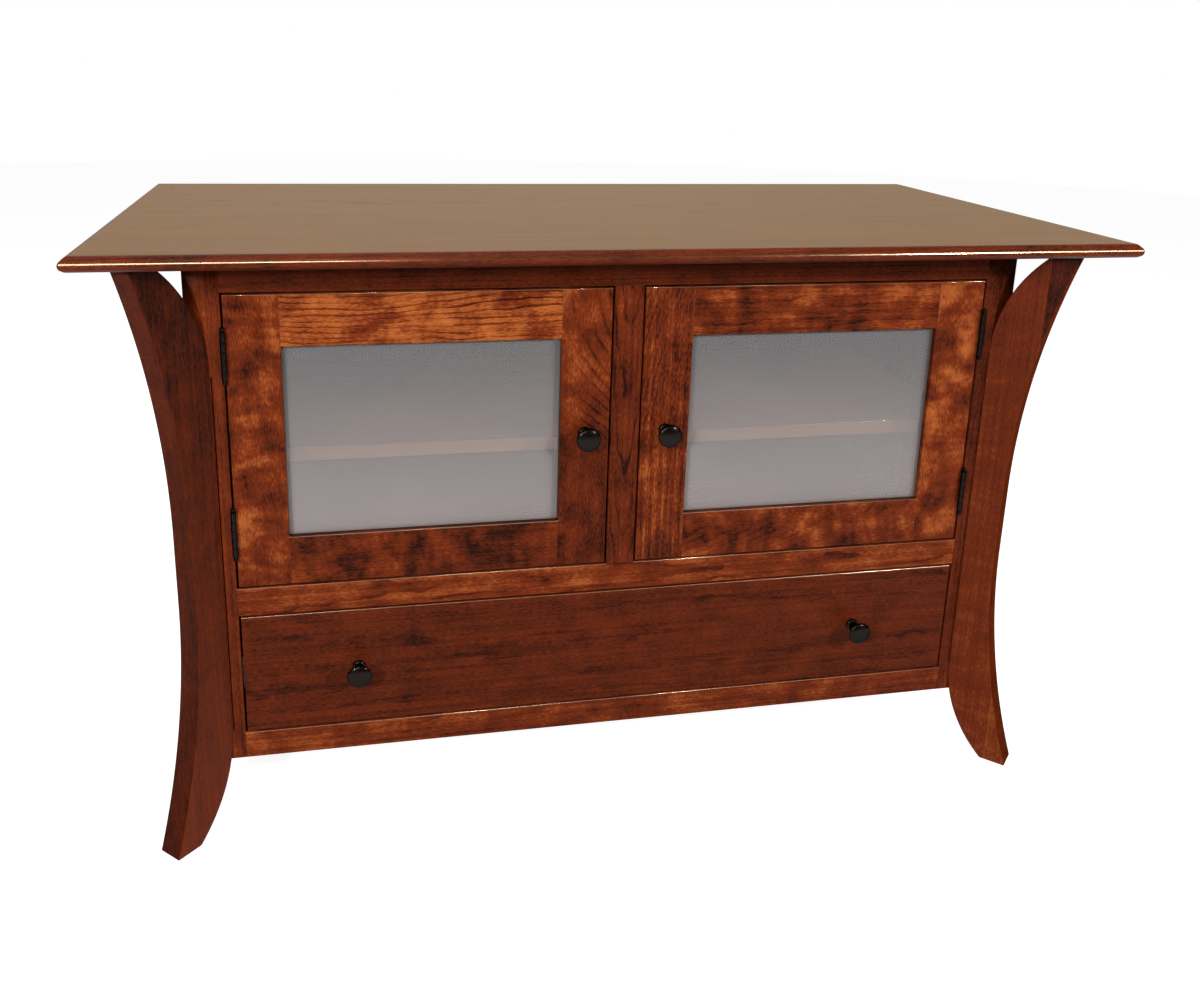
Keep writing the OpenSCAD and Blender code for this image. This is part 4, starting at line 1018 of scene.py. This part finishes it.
class TVSTAND_OT_panes(BuildOperator, bpy.types.Operator):
    """Builds the two grey panes with polished edges"""
    bl_idname = "tvstand.panes"
    bl_label = "Panes"

    def build(self, size, look):
        for side, _ in SIDES:
            node = f"{side}_door_glass"
            lo, hi = BOX[node]
            piece = board(f"{side}_pane", lo, hi, glass(f"{side} grey glass", lo, hi),
                          0.5 * MM)
            place(piece, f"{side}_door", "smoked_glass", node)


class TVSTAND_OT_knobs(BuildOperator, bpy.types.Operator):
    """Turns the four knobs, each with a beaded foot, a slender neck and a low dome"""
    bl_idname = "tvstand.knobs"
    bl_label = "Knobs"

    def profile(self):
        """Radius and height in millimetres, from the face the knob stands on."""
        line = rounded([
            (8.65, 0.0, 0.0), (8.65, 1.1, 0.25), (8.1, 1.35, 0.2), (8.65, 1.6, 0.2),
            (8.65, 3.2, 1.0), (7.2, 4.4, 0.9), (6.4, 4.75, 0.3), (5.3, 7.2, 1.6),
            (5.1, 14.6, 3.0), (7.4, 19.0, 2.5), (13.6, 25.0, 2.4), (15.6, 25.9, 0.5),
        ], 5)
        dome = [(16.1 * cos(a) if i < 20 else 0.0, 27.4 + 5.6 * sin(a))
                for i, a in ((i, pi / 2 * i / 20) for i in range(-3, 21))]
        return [(0.0, 0.0)] + [tuple(point) for point in line] + dome

    def build(self, size, look):
        bronze = metal("knob bronze", look.bronze, 0.34, (700.0, 700.0, 700.0),
                       (0.022, 0.014, 0.010), coat=BRONZE_COAT, rim=BRONZE_RIM)
        profile = [(radius * MM, height * MM) for radius, height in self.profile()]
        sites = []
        for side, s in SIDES:
            lo, hi = BOX[f"{side}_door_knob"]
            sites.append((f"{side}_door_turned_knob", f"{side}_door",
                          ((lo.x + hi.x) / 2, (lo.z + hi.z) / 2), f"{side}_door_knob"))
        lo, hi = BOX["drawer_knobs"]
        radius = (hi.z - lo.z) / 2
        for side, s in SIDES:
            sites.append((f"drawer_{side}_turned_knob", "drawer",
                          (s * (hi.x - radius), (lo.z + hi.z) / 2), "drawer_knobs"))
        for name, body, (x, z), node in sites:
            work = turned(bmesh.new(), profile, (x, FRONT_Y, z), (0, -1, 0), 72)
            piece = to_object(name, work, bronze, radians(50))
            place(piece, body, "bronze", node)


class TVSTAND_OT_hinges(BuildOperator, bpy.types.Operator):
    """Builds the butt hinges: leaves with their knuckles, and pins with ball tips"""
    bl_idname = "tvstand.hinges"
    bl_label = "Hinges"

    # radius of the collar and of the ball of a tip, as shares of the barrel's diameter
    COLLAR, BALL = 0.46, 0.43

    def build(self, size, look):
        bronze = metal("hinge bronze", darker(look.bronze, 0.7), 0.34,
                       (900.0, 900.0, 90.0), (0.020, 0.013, 0.009), coat=BRONZE_COAT,
                       rim=BRONZE_RIM)
        pin_lo, pin_hi = BOX["hinge_pins"]
        leaf_lo, leaf_hi = BOX["hinge_frame_leaves"]
        radius = size.hinge_barrel / 2
        x = pin_hi.x - self.COLLAR * size.hinge_barrel
        y = (pin_lo.y + pin_hi.y) / 2
        span = size.hinge_length
        lows = (leaf_lo.z, leaf_hi.z - span)
        pitch = span / 5
        gap = 0.15 * MM
        knuckle = rounded([
            (0.0, 0.0, 0.0), (radius - 0.3 * MM, 0.0, 0.1 * MM), (radius, 0.3 * MM, 0.2 * MM),
            (radius, pitch - 2 * gap - 0.3 * MM, 0.2 * MM),
            (radius - 0.3 * MM, pitch - 2 * gap, 0.1 * MM), (0.0, pitch - 2 * gap, 0.0)], 3)
        leaf_front = y + radius + 0.4 * MM
        door_edge = BOX["right_door_hinge_stile"][1].x
        plates = (
            ("hinge_frame_leaves", (0, 2, 4), OPEN_X - size.hinge_leaf, OPEN_X),
            ("door_hinge_leaves", (1, 3), door_edge, door_edge + size.hinge_leaf),
        )
        for node_end, knuckles, plate_x0, plate_x1 in plates:
            for side, s in SIDES:
                for level, low in zip(("lower", "upper"), lows):
                    x0, x1 = sorted((s * plate_x0, s * plate_x1))
                    work = block((x0, leaf_front, low), (x1, leaf_hi.y, low + span))
                    ease_edges(work, list(work.edges), 0.2 * MM, 2)
                    for k in knuckles:
                        z0, z1 = low + k * pitch + gap, low + (k + 1) * pitch - gap
                        tab = block((x0, y, z0), (x1, leaf_front + MM, z1))
                        spare = bpy.data.meshes.new("tab")
                        tab.to_mesh(spare)
                        tab.free()
                        work.from_mesh(spare)
                        bpy.data.meshes.remove(spare)
                        turned(work, knuckle, (s * x, y, z0), (0, 0, 1), 32)
                    door = node_end.startswith("door")
                    name = f"{side}_{level}_{'door' if door else 'frame'}_leaf"
                    node = f"{side}_{node_end}" if door else node_end
                    piece = to_object(name, work, bronze, radians(40))
                    place(piece, f"{side}_door" if door else "cabinet", "bronze", node)
        tip = size.hinge_barrel / 2
        half = (pin_hi.z - pin_lo.z - (lows[1] - lows[0])) / 2
        ball = self.BALL * size.hinge_barrel
        for side, s in SIDES:
            for level, low in zip(("lower", "upper"), lows):
                centre = low + span / 2
                work = bmesh.new()
                for up in (1, -1):
                    line = rounded([
                        (0.0, span / 2 + 0.1 * MM, 0.0),
                        (0.86 * tip, span / 2 + 0.1 * MM, 0.1 * MM),
                        (0.92 * tip, span / 2 + 0.6 * MM, 0.3 * MM),
                        (0.80 * tip, span / 2 + 1.1 * MM, 0.2 * MM),
                        (0.50 * tip, span / 2 + 1.5 * MM, 0.2 * MM),
                    ], 3)
                    start = half - 2 * ball
                    points = [tuple(point) for point in line]
                    points += [(ball * sin(a), start + ball * (1 - cos(a)))
                               for a in (pi * i / 18 for i in range(3, 18))]
                    points.append((0.0, half))
                    turned(work, points, (s * x, y, centre), (0, 0, up), 32)
                piece = to_object(f"{side}_{level}_hinge_tips", work, bronze, radians(50))
                place(piece, "cabinet", "bronze", "hinge_pins")


class TVSTAND_OT_drawer(BuildOperator, bpy.types.Operator):
    """Builds the drawer front and finishes the maple box behind it"""
    bl_idname = "tvstand.drawer"
    bl_label = "Drawer"

    def build(self, size, look):
        lo, hi = BOX["drawer_front"]
        material = cherry("drawer front cherry", "xzy", middle(lo, hi), seed=101.6,
                          tone=0.235, ring=0.16, spacing=0.012, pith=0.01, depth=0.12,
                          tilt=0.012, wander=0.045, blotch=0.36, smudge=0.08, streak=0.34,
                          fibre=0.45, ripple=0.05)
        place(board("drawer_front_board", lo, hi, material, size.board_ease),
              "drawer", "cherry_front", "drawer_front")
        boards = (
            ("drawer_left_side", "yzx", 103.0), ("drawer_right_side", "yzx", 105.0),
            ("drawer_box_front", "xzy", 107.0), ("drawer_box_back", "xzy", 109.0),
            ("drawer_bottom", "xyz", 111.0),
        )
        for node, axes, seed in boards:
            finish_node(node, wood(
                f"{node} maple".replace("_", " "), axes, middle(*BOX[node]), "maple",
                specular=0.3, seed=seed, tone=0.5, ring=0.25, spacing=0.009, pith=0.02,
                depth=0.10, tilt=0.01, wander=0.03, blotch=0.25, smudge=0.05, streak=0.3))


class TVSTAND_OT_fittings(BuildOperator, bpy.types.Operator):
    """Finishes the slides, screws, catches and catch plates"""
    bl_idname = "tvstand.fittings"
    bl_label = "Fittings"

    def build(self, size, look):
        worn = (0.75, 0.75, 0.74)     # bright metal where the zinc is rubbed
        rolled = metal("slide zinc", look.zinc, 0.34, (60.0, 900.0, 900.0), worn)
        screw = metal("screw zinc", look.zinc, 0.30, (700.0, 700.0, 700.0), worn)
        for node in ("slide_case_members", "slide_middle_members", "slide_drawer_members",
                     "left_door_catch_plate", "right_door_catch_plate"):
            finish_node(node, rolled)
        for node in ("leg_screws", "top_screws", "case_screws", "left_door_screws",
                     "right_door_screws", "drawer_screws"):
            finish_node(node, screw)
        finish_node("door_catches", plastic("catch plastic", look.plastic))


class TVSTAND_OT_stage(bpy.types.Operator):
    """Sets the pale floor, the studio lamps and the camera"""
    bl_idname = "tvstand.stage"
    bl_label = "Stage"
    bl_options = {"REGISTER", "UNDO"}

    # name, place, aim, width and height, and the setting that holds the power
    LAMPS = (
        ("left softbox", (-0.95, -2.45, 2.00), (-0.95, -0.2, 0.6), (1.25, 0.34), "lamp_power"),
        ("right softbox", (2.35, -2.45, 2.00), (2.35, -0.2, 0.6), (1.08, 0.34), "lamp_power"),
        ("left key", (-1.35, -1.85, 1.22), (-0.2025, -0.2, 0.45), (0.14, 0.14), "key_power"),
        ("right key", (1.35, -1.85, 1.42), (0.2025, -0.2, 0.45), (0.14, 0.14), "key_power"),
        ("top softbox", (-0.25, 0.3, 3.0), (0.0, 0.0, 0.8), (2.4, 2.0), "top_lamp_power"),
        ("rear softbox", (0.2, 2.6, 1.5), (0.0, 0.2, 0.4), (2.2, 0.8), "rear_lamp_power"),
    )

    ROOM_TO_BACKDROP = (-0.15, 0.35)    # how far behind a reflection points, from -1 to 1

    def seen_directly(self, n):
        """One for what the camera sees, also in glossy and clear surfaces, else zero."""
        path = n.tree.nodes.new("ShaderNodeLightPath").outputs
        both = n.math("MAXIMUM", path["Is Camera Ray"], path["Is Glossy Ray"])
        return n.math("MAXIMUM", both, path["Is Transmission Ray"])

    def floor(self, stage):
        work = bmesh.new()
        bmesh.ops.create_circle(work, cap_ends=True, radius=stage.floor_radius, segments=96)
        material, n, shader = principled("stage floor")
        shader.inputs["Base Color"].default_value = solid_colour(stage.floor_colour)
        shader.inputs["Roughness"].default_value = 0.9
        shader.inputs["Specular IOR Level"].default_value = 0.0
        shader.inputs["Emission Color"].default_value = solid_colour(WHITE)
        lift = n.math("MULTIPLY", self.seen_directly(n), stage.backdrop_lift)
        n.tree.links.new(lift, shader.inputs["Emission Strength"])
        floor = to_object("stage_floor", work, material)

    def lamps(self, stage):
        for name, place, aim, (width, height), power in self.LAMPS:
            data = bpy.data.lights.new(name, "AREA")
            data.shape = "RECTANGLE"
            data.size = width
            data.size_y = height
            data.energy = getattr(stage, power)
            lamp = bpy.data.objects.new(name, data)
            bpy.context.scene.collection.objects.link(lamp)
            lamp.location = place
            way = Vector(aim) - Vector(place)
            lamp.rotation_euler = way.to_track_quat("-Z", "Y").to_euler()
            # the lamp behind would glare in the gloss of the top
            lamp.visible_glossy = name != "rear softbox"

    def world(self, stage):
        world = bpy.data.worlds.new("Studio")
        world.use_nodes = True
        n = Nodes(world.node_tree)
        background = world.node_tree.nodes["Background"]
        path = n.tree.nodes.new("ShaderNodeLightPath").outputs
        seen = n.math("MAXIMUM", path["Is Camera Ray"], path["Is Transmission Ray"])
        behind = n.parts(n.add("TexCoord"))[1]
        # gloss shows the white backdrop behind the stand and the dim room ahead of it
        shown = n.step(behind, *self.ROOM_TO_BACKDROP, stage.room, 1.0)
        gloss = n.math("MULTIPLY", path["Is Glossy Ray"],
                       n.math("SUBTRACT", shown, stage.ambient))
        strength = n.math("MULTIPLY_ADD", seen, 1.0 - stage.ambient, stage.ambient)
        strength = n.math("ADD", strength, gloss)
        background.inputs["Color"].default_value = solid_colour(WHITE)
        world.node_tree.links.new(strength, background.inputs["Strength"])
        return world

    def camera(self, stage):
        ahead = Vector((sin(stage.camera_yaw) * cos(stage.camera_pitch),
                        cos(stage.camera_yaw) * cos(stage.camera_pitch),
                        -sin(stage.camera_pitch)))
        right = Vector((cos(stage.camera_yaw), -sin(stage.camera_yaw), 0.0))
        down = ahead.cross(right)
        roll = stage.camera_roll
        across = right * cos(roll) + down * sin(roll)
        up = right * sin(roll) - down * cos(roll)
        data = bpy.data.cameras.new("Camera")
        data.sensor_fit = "HORIZONTAL"
        data.sensor_width = SENSOR_WIDTH
        data.lens = stage.camera_lens
        data.shift_x = stage.camera_shift_x
        data.shift_y = stage.camera_shift_y
        camera = bpy.data.objects.new("Camera", data)
        bpy.context.scene.collection.objects.link(camera)
        turn = Matrix((across, up, -ahead)).transposed().to_4x4()
        camera.matrix_world = Matrix.Translation(stage.camera_place) @ turn
        return camera

    def execute(self, context):
        stage = context.scene.stand_stage
        self.floor(stage)
        self.lamps(stage)
        context.scene.world = self.world(stage)
        context.scene.view_settings.view_transform = "Standard"
        context.scene.camera = self.camera(stage)
        return {"FINISHED"}


OPERATORS = (
    TVSTAND_OT_top, TVSTAND_OT_legs, TVSTAND_OT_face_frame, TVSTAND_OT_case,
    TVSTAND_OT_shelves, TVSTAND_OT_doors, TVSTAND_OT_panes, TVSTAND_OT_knobs,
    TVSTAND_OT_hinges, TVSTAND_OT_drawer, TVSTAND_OT_fittings, TVSTAND_OT_stage,
)


class TVSTAND_PT_panel(bpy.types.Panel):
    """Lists the steps that dress the stand"""
    bl_idname = "TVSTAND_PT_panel"
    bl_label = "TV stand"
    bl_space_type = "VIEW_3D"
    bl_region_type = "UI"
    bl_category = "TV stand"

    def draw(self, context):
        for operator in OPERATORS:
            self.layout.operator(operator.bl_idname)
        for group in ("stand_sizes", "stand_finishes", "stand_stage"):
            holder = getattr(context.scene, group)
            box = self.layout.box()
            for key in holder.bl_rna.properties.keys():
                if key not in ("rna_type", "name"):
                    box.prop(holder, key)


GROUPS = (("stand_sizes", StandSizes), ("stand_finishes", StandFinishes),
          ("stand_stage", StandStage))


def register():
    for name, group in GROUPS:
        bpy.utils.register_class(group)
        setattr(bpy.types.Scene, name, bpy.props.PointerProperty(type=group))
    for item in (*OPERATORS, TVSTAND_PT_panel):
        bpy.utils.register_class(item)


def unregister():
    for item in reversed((*OPERATORS, TVSTAND_PT_panel)):
        bpy.utils.unregister_class(item)
    for name, group in reversed(GROUPS):
        delattr(bpy.types.Scene, name)
        bpy.utils.unregister_class(group)


def main():
    register()
    for operator in OPERATORS:
        step = operator.bl_idname.split(".")[1]
        getattr(bpy.ops.tvstand, step)()


if __name__ == "__main__":
    main()
